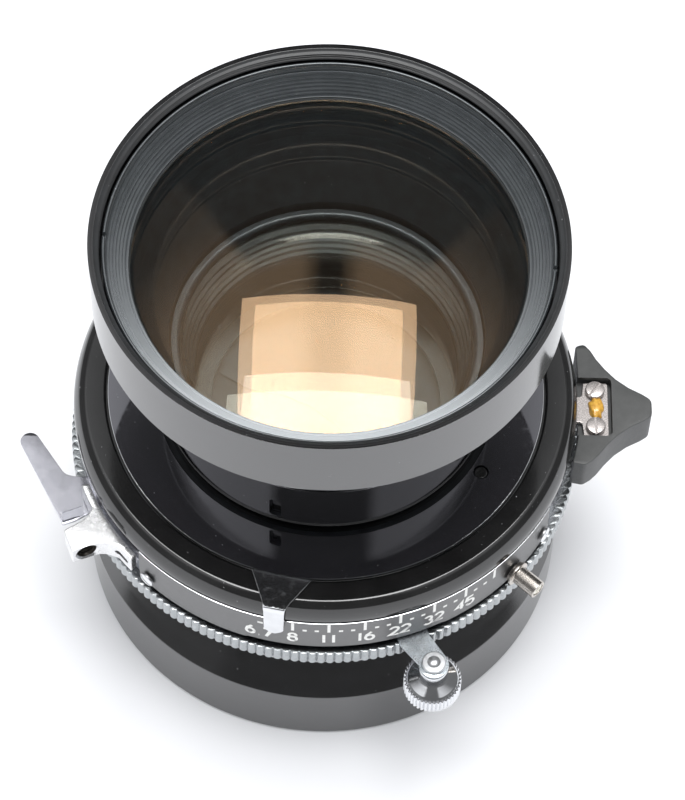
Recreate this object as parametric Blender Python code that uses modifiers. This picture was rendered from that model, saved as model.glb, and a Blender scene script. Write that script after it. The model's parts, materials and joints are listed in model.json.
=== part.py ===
"""Large-format plasmat lens in a size 3 leaf shutter, standing on its rear rim.

The optical axis is +Z and the origin is where it meets the plane of the rear rim.
Azimuths are measured from +X towards +Y; the aperture scale faces -Y.
All constants are millimetres and degrees; MM turns them into Blender's metres.
"""
import math

import bmesh
import bpy
from mathutils import Matrix, Vector

MM = 0.001
GAP = 0.3  # air between pieces that rest on each other
ROUND_STEPS = 36  # facets of the large turned pieces

# Driving dimensions of the glass cells
RIM_RADIUS = 45.0  # front ring, taking an 86 mm filter thread
RIM_TOP = 109.46
RIM_FOOT = 94.5
NECK_RADIUS = 32.6
NECK_TOP = 72.0
FRONT_CELL_END = 49.2
REAR_RIM_RADIUS = 48.9
REAR_RIM_HEIGHT = 15.6
REAR_CELL_TOP = 35.9
REAR_THREAD_RADIUS = 28.4
FRONT_THREAD_RADIUS = 27.9

# Driving dimensions of the shutter
PLATE_LOW, PLATE_HIGH = 33.6, 35.2
WALL_INNER, WALL_OUTER, WALL_TOP = 47.0, 49.3, 51.5
STEP_RADIUS, STEP_HEIGHT = 48.4, 40.5
COVER_RADIUS, COVER_LOW, DISC_TOP = 50.2, 51.8, 56.7
DISC_RADIUS, DISC_THICKNESS = 43.3, 1.0
SPEED_RING_LOW, SPEED_RING_HIGH = 36.4, 40.2
SPEED_RING_TIP, SPEED_RING_ROOT, SPEED_RING_TEETH = 51.2, 50.7, 184

# Aperture scale: one stop is eight degrees
STRIP_FROM, STRIP_TO = -134.5, -27.3
STRIP_LOW, STRIP_HIGH, STRIP_INNER, STRIP_OUTER = 41.7, 51.5, 49.6, 50.4
POINTER_AZIMUTH = -99.5

# Aperture train: lever ring, compound pinion, pointer gear
MODULE = 0.5
RACK_TEETH, LOWER_TEETH, UPPER_TEETH, POINTER_TEETH = 180, 24, 26, 130
PINION_AZIMUTH = 150.0
LEVER_AZIMUTH = -68.1
LEVER_TRAVEL = (-34.4, 2.0)
TRAIN_RATIO = RACK_TEETH / LOWER_TEETH * UPPER_TEETH / POINTER_TEETH
CAM_RING_LOW, CAM_RING_HIGH = 40.6, 41.2
RACK_LOW, POINTER_GEAR_LOW, GEAR_THICKNESS = 50.1, 51.3, 0.8
KNOB_PLACE = (22.85, -52.9)

# Iris and shutter blades: each turns on a stud and is driven by a pin in a cam slot
IRIS_BLADES, IRIS_RATIO, IRIS_LOW = 7, -0.9, 36.4
SHUTTER_BLADES, SHUTTER_RATIO, SHUTTER_LOW = 5, 2.4, 43.4
SHUTTER_CLOSING = -36.0
BLADE_RING_LOW, BLADE_RING_HIGH = 46.2, 46.9
BLADE_RING_TRAVEL = (0.0, 15.0)
BLADE_PITCH, BLADE_THICKNESS = 0.5, 0.2
THROAT_RADIUS = 22.4
STUD_CIRCLE, STUD_RADIUS = 41.0, 0.8
PIN_REACH, PIN_RADIUS = 4.0, 0.6
PREVIEW_AZIMUTH = 82.0

# Cocking lever and release lever
HANDLE_AZIMUTH = 0.9
COCKING_TRAVEL = 40.0
COCKING_LOW, COCKING_HIGH = 48.9, 49.7
HANDLE_LOW, HANDLE_HIGH = 42.6, 51.0
BRACKET_LOW, BRACKET_HIGH = 43.1, 48.0
RELEASE_LOW, RELEASE_HIGH = 42.0, 42.8
RELEASE_TRAVEL = -6.0
SOCKET_RADIUS, SOCKET_HEIGHT = 2.0, 45.5

COLOURS = {
    "black_anodised": ((0.012, 0.012, 0.013), 0.0, 0.25),
    "black_enamel": ((0.010, 0.010, 0.011), 0.0, 0.18),
    "black_plastic": ((0.018, 0.018, 0.020), 0.0, 0.55),
    "chrome": ((0.80, 0.80, 0.82), 1.0, 0.15),
    "satin_chrome": ((0.66, 0.66, 0.68), 1.0, 0.35),
    "steel": ((0.55, 0.55, 0.57), 1.0, 0.40),
    "blade_steel": ((0.05, 0.05, 0.055), 0.6, 0.45),
    "brass": ((0.72, 0.56, 0.28), 1.0, 0.35),
    "insulator": ((0.85, 0.84, 0.80), 0.0, 0.50),
    "glass": ((0.90, 0.95, 0.93), 0.0, 0.02),
}


def empty_file():
    for obj in list(bpy.data.objects):
        bpy.data.objects.remove(obj, do_unlink=True)


def new_collection(name):
    collection = bpy.data.collections.new(name)
    bpy.context.scene.collection.children.link(collection)
    return collection


def material_for(name):
    """The Principled material of one finish, made the first time that it is asked for."""
    if name in bpy.data.materials:
        return bpy.data.materials[name]
    colour, metallic, roughness = COLOURS[name]
    material = bpy.data.materials.new(name)
    material.use_nodes = True
    shader = material.node_tree.nodes["Principled BSDF"]
    shader.inputs["Base Color"].default_value = (*colour, 1.0)
    shader.inputs["Metallic"].default_value = metallic
    shader.inputs["Roughness"].default_value = roughness
    return material


def place(node, mesh, finish, at=(0.0, 0.0, 0.0), turn=0.0):
    """Put a mesh into the model as a named piece with its origin at a point."""
    obj = bpy.data.objects.new(node, mesh)
    obj.location = [value * MM for value in at]
    obj.rotation_euler = (0.0, 0.0, math.radians(turn))
    mesh.materials.append(material_for(finish))
    PARTS.objects.link(obj)
    return obj


def polar(radius, azimuth):
    angle = math.radians(azimuth)
    return radius * math.cos(angle), radius * math.sin(angle)


def arc(radius, start, end, steps, centre=(0.0, 0.0)):
    """Points along an arc, both ends included."""
    points = []
    for i in range(steps + 1):
        x, y = polar(radius, start + (end - start) * i / steps)
        points.append((centre[0] + x, centre[1] + y))
    return points


def circle(radius, steps, centre=(0.0, 0.0)):
    return arc(radius, 0.0, 360.0, steps, centre)[:-1]


def turned(node, finish, profile, steps=ROUND_STEPS, at=(0.0, 0.0)):
    """A turned piece: its section as (radius, height), down the outside and up the inside."""
    mesh = bpy.data.meshes.new(node)
    verts = [(radius * MM, 0.0, height * MM) for radius, height in profile]
    on_axis = profile[0][0] == 0.0 and profile[-1][0] == 0.0
    edges = [(i, i + 1) for i in range(len(verts) - 1)]
    if not on_axis:
        edges.append((len(verts) - 1, 0))
    mesh.from_pydata(verts, edges, [])
    obj = place(node, mesh, finish, (at[0], at[1], 0.0))
    screw = obj.modifiers.new("turn", "SCREW")
    screw.axis = "Z"
    screw.angle = 2.0 * math.pi
    screw.steps = steps
    screw.render_steps = steps
    screw.use_merge_vertices = True
    screw.merge_threshold = 0.00001
    screw.use_smooth_shade = True
    return obj


def outline_mesh(name, outlines, thickness):
    """A flat piece from closed outlines, as a welded mesh centred on its own plane."""
    curve = bpy.data.curves.new(name, "CURVE")
    curve.dimensions = "2D"
    curve.fill_mode = "BOTH"
    curve.extrude = thickness / 2.0 * MM
    for outline in outlines:
        spline = curve.splines.new("POLY")
        spline.points.add(len(outline) - 1)
        spline.use_cyclic_u = True
        for point, (x, y) in zip(spline.points, outline):
            point.co = (x * MM, y * MM, 0.0, 1.0)
    guide = bpy.data.objects.new(name + "_outline", curve)
    bpy.context.scene.collection.objects.link(guide)
    bpy.context.view_layer.update()
    mesh = bpy.data.meshes.new_from_object(guide.evaluated_get(bpy.context.evaluated_depsgraph_get()))
    bpy.data.objects.remove(guide, do_unlink=True)
    bpy.data.curves.remove(curve)
    work = bmesh.new()
    work.from_mesh(mesh)
    bmesh.ops.remove_doubles(work, verts=work.verts, dist=0.000002)
    bmesh.ops.recalc_face_normals(work, faces=work.faces)
    work.to_mesh(mesh)
    work.free()
    mesh.materials.clear()
    return mesh


def flat(node, finish, outlines, low, high, at=(0.0, 0.0), turn=0.0):
    """A sheet piece between two heights."""
    mesh = outline_mesh(node, outlines, high - low)
    return place(node, mesh, finish, (at[0], at[1], (low + high) / 2.0), turn)


def solids_mesh(name, shapes):
    """A mesh of separate closed solids; each shape is (kind, sizes, matrix in millimetres)."""
    work = bmesh.new()
    for kind, sizes, matrix in shapes:
        if kind == "box":
            made = bmesh.ops.create_cube(work, size=1.0)
            scale = Matrix.Diagonal((*sizes, 1.0))
        else:
            radius_low, radius_high, height, sides = sizes
            made = bmesh.ops.create_cone(
                work, cap_ends=True, segments=sides, radius1=radius_low, radius2=radius_high, depth=height)
            scale = Matrix.Identity(4)
        bmesh.ops.transform(work, matrix=Matrix.Scale(MM, 4) @ matrix @ scale, verts=made["verts"])
    mesh = bpy.data.meshes.new(name)
    work.to_mesh(mesh)
    work.free()
    return mesh


def solids(node, finish, shapes, at=(0.0, 0.0, 0.0)):
    return place(node, solids_mesh(node, shapes), finish, at)


def boolean(obj, other, operation):
    """Cut another mesh away from a piece, or join it on."""
    other.hide_render = True
    other.display_type = "WIRE"
    step = obj.modifiers.new(operation.lower(), "BOOLEAN")
    step.operation = operation
    step.solver = "EXACT"
    step.object = other
    return obj


def helper(name, shapes):
    """A cutter or a joined-on lump, which isn't a piece of its own."""
    obj = bpy.data.objects.new(name, solids_mesh(name, shapes))
    CUTTERS.objects.link(obj)
    return obj


def sector_helper(name, inner, outer, start, end, low, high, steps=8):
    """A cutter that is a slice of a ring."""
    outline = arc(outer, start, end, steps) + arc(inner, end, start, steps)
    obj = bpy.data.objects.new(name, outline_mesh(name, [outline], high - low))
    obj.location = (0.0, 0.0, (low + high) / 2.0 * MM)
    CUTTERS.objects.link(obj)
    return obj


def shift(x, y, z):
    return Matrix.Translation((x, y, z))


def facing(x, y, z, azimuth):
    """A frame at a point whose local Z looks outward along an azimuth."""
    turn = Matrix.Rotation(math.radians(azimuth), 4, "Z")
    return shift(x, y, z) @ turn @ Matrix.Rotation(math.pi / 2, 4, "Y")


def lens_surface(vertex_height, edge_height, radius, rings=3):
    """Points of a spherical surface from the axis to the edge, as (radius, height)."""
    sag = vertex_height - edge_height
    curvature = (radius * radius + sag * sag) / (2.0 * sag)
    points = []
    for i in range(rings + 1):
        r = radius * i / rings
        drop = abs(curvature) - math.sqrt(curvature * curvature - r * r)
        points.append((r, vertex_height - math.copysign(drop, sag)))
    return points


def element(node, radius, upper, lower):
    """A lens element from its two surfaces, each as (height on the axis, height at the edge)."""
    top = lens_surface(upper[0], upper[1], radius)
    bottom = lens_surface(lower[0], lower[1], radius)
    return turned(node, "glass", top + bottom[::-1])


def ring(node, finish, inner, outer, low, high, steps=ROUND_STEPS, at=(0.0, 0.0)):
    return turned(node, finish, [(outer, high), (outer, low), (inner, low), (inner, high)], steps, at)


# ---- the two glass cells -------------------------------------------------

def front_cell():
    barrel = turned("front_barrel", "black_anodised", [
        (RIM_RADIUS - 0.3, RIM_TOP), (RIM_RADIUS, RIM_TOP - 0.3), (RIM_RADIUS, RIM_FOOT),
        (RIM_RADIUS - 0.7, RIM_FOOT - 0.7), (NECK_RADIUS, NECK_TOP), (NECK_RADIUS, DISC_TOP - 0.8),
        (30.3, DISC_TOP - 0.8), (30.3, 54.9), (FRONT_THREAD_RADIUS, 54.9),
        (FRONT_THREAD_RADIUS, FRONT_CELL_END), (25.0, FRONT_CELL_END), (25.0, 60.0), (28.6, 66.2),
        (30.2, 66.2), (30.2, 74.5), (38.6, 90.2), (38.6, 91.0), (41.2, 91.0), (41.2, 101.0),
        (42.9, 101.0), (42.9, 108.7), (43.6, RIM_TOP)])
    notches = []
    for azimuth in (-105.8, 74.2):
        x, y = polar(NECK_RADIUS, azimuth)
        notches.append(("box", (5.6, 2.4, 2.2), facing(x, y, 62.8, azimuth)))
    boolean(barrel, helper("neck_notches", notches), "DIFFERENCE")
    turned("front_retaining_ring", "black_anodised", [
        (41.8, 107.3), (42.4, 107.3), (42.4, 101.3), (37.3, 101.3), (37.3, 102.0), (41.6, 105.6)])
    element("front_outer_element", 40.9, (107.0, 99.8), (98.2, 91.3))
    element("front_inner_element", 29.9, (75.2, 69.9), (69.6, 66.5))
    ring("front_inner_lock_ring", "black_anodised", 28.2, 29.9, 70.9, 72.8)


def rear_cell():
    turned("rear_barrel", "black_anodised", [
        (REAR_THREAD_RADIUS, REAR_CELL_TOP), (REAR_THREAD_RADIUS, 26.9), (40.2, 26.9),
        (REAR_RIM_RADIUS, REAR_RIM_HEIGHT), (REAR_RIM_RADIUS - 0.1, 0.4), (48.4, 0.0), (46.6, 0.0),
        (46.2, 0.4), (46.2, 9.0), (44.3, 9.0), (44.3, 15.2), (41.0, 15.2), (41.0, 17.0),
        (30.0, 23.4), (24.6, 24.6), (24.6, 26.5), (26.2, 26.5), (26.2, REAR_CELL_TOP)])
    ring("rear_retaining_ring", "black_anodised", 42.4, 45.9, 3.0, 8.7)
    element("rear_outer_element", 44.0, (11.4, 14.9), (3.0, 9.6))
    element("rear_inner_element", 25.9, (31.2, 32.6), (24.9, 26.9))
    ring("rear_inner_lock_ring", "black_anodised", 24.4, 25.9, 33.2, 35.4)


# ---- the shutter's case --------------------------------------------------

def shutter_case():
    housing = turned("shutter_housing", "satin_chrome", [
        (WALL_OUTER, WALL_TOP), (WALL_OUTER, STEP_HEIGHT), (STEP_RADIUS, STEP_HEIGHT),
        (STEP_RADIUS, PLATE_LOW), (32.4, PLATE_LOW), (32.4, 27.3), (28.9, 27.3), (28.9, PLATE_HIGH),
        (WALL_INNER, PLATE_HIGH), (WALL_INNER, WALL_TOP)])
    lever_from = LEVER_AZIMUTH + LEVER_TRAVEL[0] - 5.0
    lever_to = LEVER_AZIMUTH + LEVER_TRAVEL[1] + 5.0
    slots = [
        sector_helper("lever_slot", 46.0, 50.5, lever_from, lever_to, 40.3, 41.5),
        sector_helper("cocking_slot", 46.0, 50.5, HANDLE_AZIMUTH - 5.0,
                      HANDLE_AZIMUTH + COCKING_TRAVEL + 5.0, 48.6, 50.0),
        sector_helper("preview_slot", 46.0, 50.5, PREVIEW_AZIMUTH - 5.0,
                      PREVIEW_AZIMUTH + BLADE_RING_TRAVEL[1] + 5.0, 45.9, 47.2),
        sector_helper("release_slot", 46.0, 50.5, -171.0, -149.0, 41.7, 43.1),
    ]
    for slot in slots:
        boolean(housing, slot, "DIFFERENCE")
    ring("mounting_ring", "black_anodised", 32.9, 38.6, 28.2, 31.4)
    turned("front_cover", "black_enamel", [
        (DISC_RADIUS + 0.4, DISC_TOP - 0.1), (47.6, DISC_TOP - 0.1), (48.8, 56.0), (49.9, 54.3),
        (COVER_RADIUS, COVER_LOW), (48.4, COVER_LOW), (47.0, 54.3), (38.0, 54.3), (38.0, 55.4),
        (DISC_RADIUS + 0.4, 55.4)])


def speed_ring():
    outline = []
    for i in range(SPEED_RING_TEETH * 2):
        radius = SPEED_RING_TIP if i % 2 else SPEED_RING_ROOT
        outline.append(polar(radius, 180.0 * i / SPEED_RING_TEETH))
    flat("speed_ring", "chrome", [outline, circle(STEP_RADIUS + 0.45, ROUND_STEPS)],
         SPEED_RING_LOW, SPEED_RING_HIGH)
    ring("speed_ring_clip", "steel", STEP_RADIUS + GAP, 50.2, 34.9, SPEED_RING_LOW - GAP)


def slotted_head(node, finish, frame, slot_angle, radius, height):
    """One slotted screw head, standing on the XY plane of its frame."""
    cone = ("cone", (radius, radius * 0.9, height, 12), frame @ shift(0, 0, height / 2))
    obj = solids(node, finish, [cone])
    turn = Matrix.Rotation(math.radians(slot_angle), 4, "Z")
    slot = ("box", (radius * 3, radius * 0.3, height), frame @ shift(0, 0, height) @ turn)
    return boolean(obj, helper(node + "_slot", [slot]), "DIFFERENCE")


def aperture_scale():
    steps = 28
    outline = arc(STRIP_OUTER, STRIP_FROM, STRIP_TO, steps) + arc(STRIP_INNER, STRIP_TO, STRIP_FROM, steps)
    flat("scale_strip", "black_enamel", [outline], STRIP_LOW, STRIP_HIGH)
    for side, azimuth, height in (("left", -131.5, 44.5), ("right", -30.0, 45.0)):
        x, y = polar(STRIP_OUTER + GAP, azimuth)
        frame = facing(x, y, height, azimuth)
        slotted_head(f"scale_screw_{side}", "satin_chrome", frame, 60.0, 1.6, 0.7)


def sync_socket():
    """The flash contact: a tube, its insulator and its pin, looking out along one azimuth."""
    azimuth, height = -41.0, 44.0
    start = STRIP_OUTER + GAP
    pieces = [
        ("sync_terminal", "satin_chrome",
         [(1.9, 6.3), (1.9, 0.8), (2.6, 0.8), (2.6, 0.0), (1.35, 0.0), (1.35, 6.3)]),
        ("sync_insulator", "insulator", [(1.05, 5.6), (1.05, 0.0), (0.65, 0.0), (0.65, 5.6)]),
        ("sync_pin", "brass", [(0.0, 5.3), (0.35, 5.3), (0.35, 0.0), (0.0, 0.0)]),
    ]
    x, y = polar(start, azimuth)
    for node, finish, profile in pieces:
        obj = turned(node, finish, profile, steps=14)
        obj.location = (x * MM, y * MM, height * MM)
        obj.rotation_euler = (0.0, math.pi / 2, math.radians(azimuth))


# ---- gears ---------------------------------------------------------------

def tooth_points(teeth, azimuth, outward=True):
    """The four corners of one gear tooth, slimmed for clearance."""
    pitch_radius = MODULE * teeth / 2.0
    step = 360.0 / teeth
    reach = 0.8 * MODULE
    sign = 1.0 if outward else -1.0
    root = pitch_radius - sign * 1.25 * MODULE
    tip = pitch_radius + sign * reach
    return [polar(root, azimuth - 0.30 * step), polar(tip, azimuth - 0.12 * step),
            polar(tip, azimuth + 0.12 * step), polar(root, azimuth + 0.30 * step)]


def gear_outline(teeth, phase):
    points = []
    for i in range(teeth):
        points += tooth_points(teeth, phase + 360.0 * i / teeth)
    return points


def toothed_sector(teeth, phase, start, end, outward=True):
    """Teeth between two azimuths; a tooth is centred on the phase azimuth."""
    points = []
    step = 360.0 / teeth
    first = math.ceil((start - phase) / step)
    last = math.floor((end - phase) / step)
    for i in range(first, last + 1):
        points += tooth_points(teeth, phase + i * step, outward)
    return points


def aperture_train():
    pinion_distance = MODULE * (RACK_TEETH - LOWER_TEETH) / 2.0
    centre = polar(pinion_distance, PINION_AZIMUTH)
    low_travel, high_travel = LEVER_TRAVEL
    # The rack's gap meets a lower pinion tooth on the outer side; the pointer gear's gap meets one inside.
    rack_phase = PINION_AZIMUTH + 180.0 / RACK_TEETH
    pointer_phase = PINION_AZIMUTH + 180.0 / POINTER_TEETH
    rack_start, rack_end = PINION_AZIMUTH - high_travel - 8.0, PINION_AZIMUTH - low_travel + 8.0
    inner = toothed_sector(RACK_TEETH, rack_phase, rack_start, rack_end, outward=False)
    outer = arc(46.6, rack_end, rack_start, 8)
    flat("aperture_rack", "steel", [inner + outer], RACK_LOW, RACK_LOW + GEAR_THICKNESS)
    pointer_start = PINION_AZIMUTH + TRAIN_RATIO * low_travel - 10.0
    pointer_end = PINION_AZIMUTH + TRAIN_RATIO * high_travel + 10.0
    teeth = toothed_sector(POINTER_TEETH, pointer_phase, pointer_start, pointer_end)
    plain = arc(31.8, pointer_end + 1.0, pointer_start + 359.0, 36)
    flat("pointer_gear", "brass", [teeth + plain, circle(30.9, ROUND_STEPS)],
         POINTER_GEAR_LOW, POINTER_GEAR_LOW + GEAR_THICKNESS)
    lower = outline_mesh("lower_pinion", [gear_outline(LOWER_TEETH, PINION_AZIMUTH)], GEAR_THICKNESS)
    pinion = place("reversing_pinion", lower, "brass", (*centre, RACK_LOW + GEAR_THICKNESS / 2))
    upper_outline = gear_outline(UPPER_TEETH, PINION_AZIMUTH + 180.0)
    upper_mesh = outline_mesh("upper_pinion", [upper_outline], GEAR_THICKNESS)
    upper = bpy.data.objects.new("upper_pinion", upper_mesh)
    upper.location = (centre[0] * MM, centre[1] * MM, (POINTER_GEAR_LOW + GEAR_THICKNESS / 2) * MM)
    CUTTERS.objects.link(upper)
    hub = helper("pinion_hub", [("cone", (2.4, 2.4, 1.4, 16), shift(*centre, 51.1))])
    boolean(pinion, upper, "UNION")
    boolean(pinion, hub, "UNION")
    bore = helper("pinion_bore", [("cone", (1.3, 1.3, 4.0, 12), shift(*centre, 51.1))])
    boolean(pinion, bore, "DIFFERENCE")
    solids("pinion_stud", "steel", [("cone", (1.0, 1.0, 4.0, 12), shift(*centre, 50.8))])


def post_azimuth():
    return PINION_AZIMUTH - LEVER_TRAVEL[0] + 1.5


# ---- blades --------------------------------------------------------------

def blade_outline(inner, outer, span):
    """A crescent with an ear for the stud and the pin, its stud at the local origin."""
    stud = (STUD_CIRCLE, 0.0)
    pin_azimuth = -105.0
    pin = (stud[0] + polar(PIN_REACH, pin_azimuth)[0], stud[1] + polar(PIN_REACH, pin_azimuth)[1])
    middle = (inner + outer) / 2.0
    tip = polar(middle, span)
    points = arc(inner, 2.0, span, 7)
    points += arc((outer - inner) / 2.0, span + 180.0, span, 3, tip)[1:-1]
    points += arc(outer, span, 7.0, 6)
    points += arc(2.2, 60.0, -20.0, 2, stud)
    points += arc(1.5, -20.0, -170.0, 3, pin)
    return [(x - stud[0], y - stud[1]) for x, y in points]


def rotated(points, angle, pivot=(0.0, 0.0)):
    c, s = math.cos(math.radians(angle)), math.sin(math.radians(angle))
    turned_points = []
    for x, y in points:
        dx, dy = x - pivot[0], y - pivot[1]
        turned_points.append((pivot[0] + c * dx - s * dy, pivot[1] + s * dx + c * dy))
    return turned_points


def blade_set(name, count, first_azimuth, low, shape, rest_swing, pin_top, finish):
    """Blades stacked one pitch apart, each on its own stud, with pins up into the ring above."""
    pin_offset = polar(PIN_REACH, -105.0)
    for i in range(count):
        azimuth = first_azimuth + 360.0 * i / count
        base = low + BLADE_PITCH * i
        outline = rotated(shape, azimuth + rest_swing)
        hole = circle(STUD_RADIUS + 0.3, 8)
        stud = polar(STUD_CIRCLE, azimuth)
        node = f"{name}_{i + 1}"
        blade = flat(node, finish, [outline, hole], base, base + BLADE_THICKNESS, stud)
        pin = rotated([pin_offset], azimuth + rest_swing)[0]
        height = pin_top - base - 0.05
        lump = helper(node + "_pin", [
            ("cone", (PIN_RADIUS, PIN_RADIUS, height, 8),
             shift(stud[0] + pin[0], stud[1] + pin[1], base + 0.05 + height / 2))])
        boolean(blade, lump, "UNION")


def add_studs(carrier, count, first_azimuth, foot, low):
    """Rivet the studs of a blade set into the plate below it, each as tall as its own blade needs."""
    shapes = []
    for i in range(count):
        top = low + BLADE_PITCH * i + BLADE_THICKNESS + 0.3
        x, y = polar(STUD_CIRCLE, first_azimuth + 360.0 * i / count)
        shapes.append(("cone", (STUD_RADIUS, STUD_RADIUS, top - foot, 8), shift(x, y, (top + foot) / 2)))
    boolean(carrier, helper(carrier.name + "_studs", shapes), "UNION")


def cam_slots(count, first_azimuth, rest_swing, ratio, travel):
    """The path of each blade's pin as the ring above it turns, widened to a slot."""
    width = PIN_RADIUS + 0.35
    low, high = travel
    margin = 1.2
    steps = 7
    slots = []
    for i in range(count):
        azimuth = first_azimuth + 360.0 * i / count
        stud = polar(STUD_CIRCLE, azimuth)
        path = []
        for k in range(steps + 1):
            ring_turn = low - margin + (high - low + 2.0 * margin) * k / steps
            offset = rotated([polar(PIN_REACH, -105.0)], azimuth + rest_swing + ratio * ring_turn)[0]
            point = rotated([(stud[0] + offset[0], stud[1] + offset[1])], -ring_turn)[0]
            path.append(Vector((*point, 0.0)))
        left, right = [], []
        for k, point in enumerate(path):
            along = (path[min(k + 1, steps)] - path[max(k - 1, 0)]).normalized()
            side = Vector((-along.y, along.x, 0.0)) * width
            left.append((point + side)[:2])
            right.append((point - side)[:2])
        slots.append(left + right[::-1])
    return slots


def iris():
    first = 12.0
    shape = blade_outline(24.8, 37.0, 115.0)
    blade_set("iris_blade", IRIS_BLADES, first, IRIS_LOW, shape, 0.0, CAM_RING_LOW + 0.3, "blade_steel")
    stud_ring = ring("iris_stud_ring", "steel", 36.5, 46.6, PLATE_HIGH + GAP, IRIS_LOW - GAP)
    add_studs(stud_ring, IRIS_BLADES, first, PLATE_HIGH + GAP + 0.2, IRIS_LOW)
    arm_root = 46.0
    half = math.degrees(math.asin(2.95 / arm_root))
    end = KNOB_PLACE
    end_azimuth = math.degrees(math.atan2(end[1], end[0]))
    ring_edge = arc(46.4, LEVER_AZIMUTH + half, LEVER_AZIMUTH + 360.0 - half, ROUND_STEPS - 4)
    arm = [polar(51.5, LEVER_AZIMUTH - half)] + arc(2.95, end_azimuth - 110.0, end_azimuth + 95.0, 8, end)
    arm.append(polar(51.6, LEVER_AZIMUTH + half * 0.9))
    slots = cam_slots(IRIS_BLADES, first, 0.0, IRIS_RATIO, LEVER_TRAVEL)
    outline = ring_edge + arm
    flat("iris_cam_ring", "satin_chrome", [outline, circle(24.2, ROUND_STEPS)] + slots,
         CAM_RING_LOW, CAM_RING_HIGH)
    x, y = polar(45.9, post_azimuth())
    post_low, post_high = CAM_RING_HIGH + GAP, RACK_LOW - GAP
    turn = Matrix.Rotation(math.radians(post_azimuth()), 4, "Z")
    solids("rack_post", "steel", [
        ("box", (1.2, 2.6, post_high - post_low), shift(x, y, (post_low + post_high) / 2) @ turn)])


def shutter_blades():
    first = 18.0
    shape = blade_outline(23.9, 38.0, 108.0)
    blade_set("shutter_blade", SHUTTER_BLADES, first, SHUTTER_LOW, shape, -SHUTTER_CLOSING,
              BLADE_RING_LOW + 0.4, "blade_steel")
    plate = ring("blade_plate", "steel", THROAT_RADIUS, 44.6, 42.2, 42.9)
    add_studs(plate, SHUTTER_BLADES, first, 42.4, SHUTTER_LOW)
    slots = cam_slots(SHUTTER_BLADES, first, -SHUTTER_CLOSING, -SHUTTER_RATIO, BLADE_RING_TRAVEL)
    arm_half = 3.2
    ring_edge = arc(44.6, PREVIEW_AZIMUTH + arm_half, PREVIEW_AZIMUTH + 360.0 - arm_half, ROUND_STEPS - 4)
    arm = arc(59.0, PREVIEW_AZIMUTH - 2.0, PREVIEW_AZIMUTH + 2.0, 1)
    arm.insert(1, polar(60.0, PREVIEW_AZIMUTH))
    blade_ring = flat("blade_ring", "satin_chrome", [ring_edge + arm, circle(24.2, ROUND_STEPS)] + slots,
                      BLADE_RING_LOW, BLADE_RING_HIGH)
    x, y = polar(58.2, PREVIEW_AZIMUTH)
    turn = Matrix.Rotation(math.radians(PREVIEW_AZIMUTH), 4, "Z")
    tab = helper("preview_tab", [("box", (1.0, 3.4, 3.2), shift(x, y, BLADE_RING_LOW + 1.7) @ turn)])
    boolean(blade_ring, tab, "UNION")


# ---- mechanism plate, pointer and levers ---------------------------------

def mechanism():
    plate = turned("mechanism_plate", "steel", [
        (30.4, 54.6), (30.4, 48.5), (46.7, 48.5), (46.7, 47.6),
        (THROAT_RADIUS, 47.6), (THROAT_RADIUS, 48.5), (28.4, 48.5), (28.4, 54.6)])
    start = post_azimuth() + LEVER_TRAVEL[0] - 3.0
    end = post_azimuth() + LEVER_TRAVEL[1] + 3.0
    boolean(plate, sector_helper("post_slot", 44.8, 48.0, start, end, 47.0, 49.0), "DIFFERENCE")


def pointer():
    turned("pointer_sleeve", "brass", [
        (37.6, 55.4), (37.6, 54.2), (32.0, 54.2), (32.0, 52.4), (30.9, 52.4), (30.9, 55.4)])
    disc = ring("pointer_disc", "black_enamel", 33.9, DISC_RADIUS, DISC_TOP - DISC_THICKNESS, DISC_TOP)
    wells = []
    for i, azimuth in enumerate((-30.7, 59.3, 149.3)):
        x, y = polar(36.0, azimuth)
        wells.append(("cone", (1.7, 1.7, 3.0, 12), shift(x, y, DISC_TOP)))
        slotted_head(f"disc_screw_{i + 1}", "black_enamel", shift(x, y, 55.7), azimuth + 60.0, 1.35, 0.9)
    boolean(disc, helper("disc_wells", wells), "DIFFERENCE")
    index_tab()


def index_tab():
    """The sheet index: from the disc's edge over the cover's shoulder and down the scale."""
    thickness = 0.45
    path = [(43.6, 57.0, 5.9), (47.4, 57.0, 3.9), (50.9, 57.0, 2.1), (50.9, 48.3, 1.95), (50.9, 47.5, 0.6)]
    normals = [(0.0, 1.0), (0.0, 1.0), (1.0, 1.0), (1.0, 0.0), (1.0, 0.0)]
    work = bmesh.new()
    rows = []
    for (radius, height, half), (out, up) in zip(path, normals):
        row = []
        for lift in (0.0, thickness):
            for side in (-half, half):
                point = (radius + out * lift, side, height + up * lift)
                row.append(work.verts.new([value * MM for value in point]))
        rows.append(row)
    for a, b in zip(rows, rows[1:]):
        for i, k in ((0, 1), (1, 3), (3, 2), (2, 0)):
            work.faces.new((a[i], a[k], b[k], b[i]))
    for row in (rows[0], rows[-1]):
        work.faces.new((row[0], row[1], row[3], row[2]))
    bmesh.ops.recalc_face_normals(work, faces=work.faces)
    mesh = bpy.data.meshes.new("index_tab")
    work.to_mesh(mesh)
    work.free()
    place("index_tab", mesh, "chrome", turn=POINTER_AZIMUTH)


def aperture_knob():
    turned("aperture_knob", "chrome", [
        (0.0, 40.3), (2.9, 40.3), (2.9, 36.7), (2.3, 36.4), (4.9, 35.3), (5.7, 35.0), (5.7, 31.3),
        (5.2, 30.8), (0.0, 30.8)], steps=24, at=KNOB_PLACE)
    turned("knob_rivet", "satin_chrome", [
        (0.0, 42.6), (0.8, 42.5), (1.2, 42.1), (2.35, 42.1), (2.35, 41.5), (0.0, 41.5)],
        steps=16, at=KNOB_PLACE)


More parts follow.
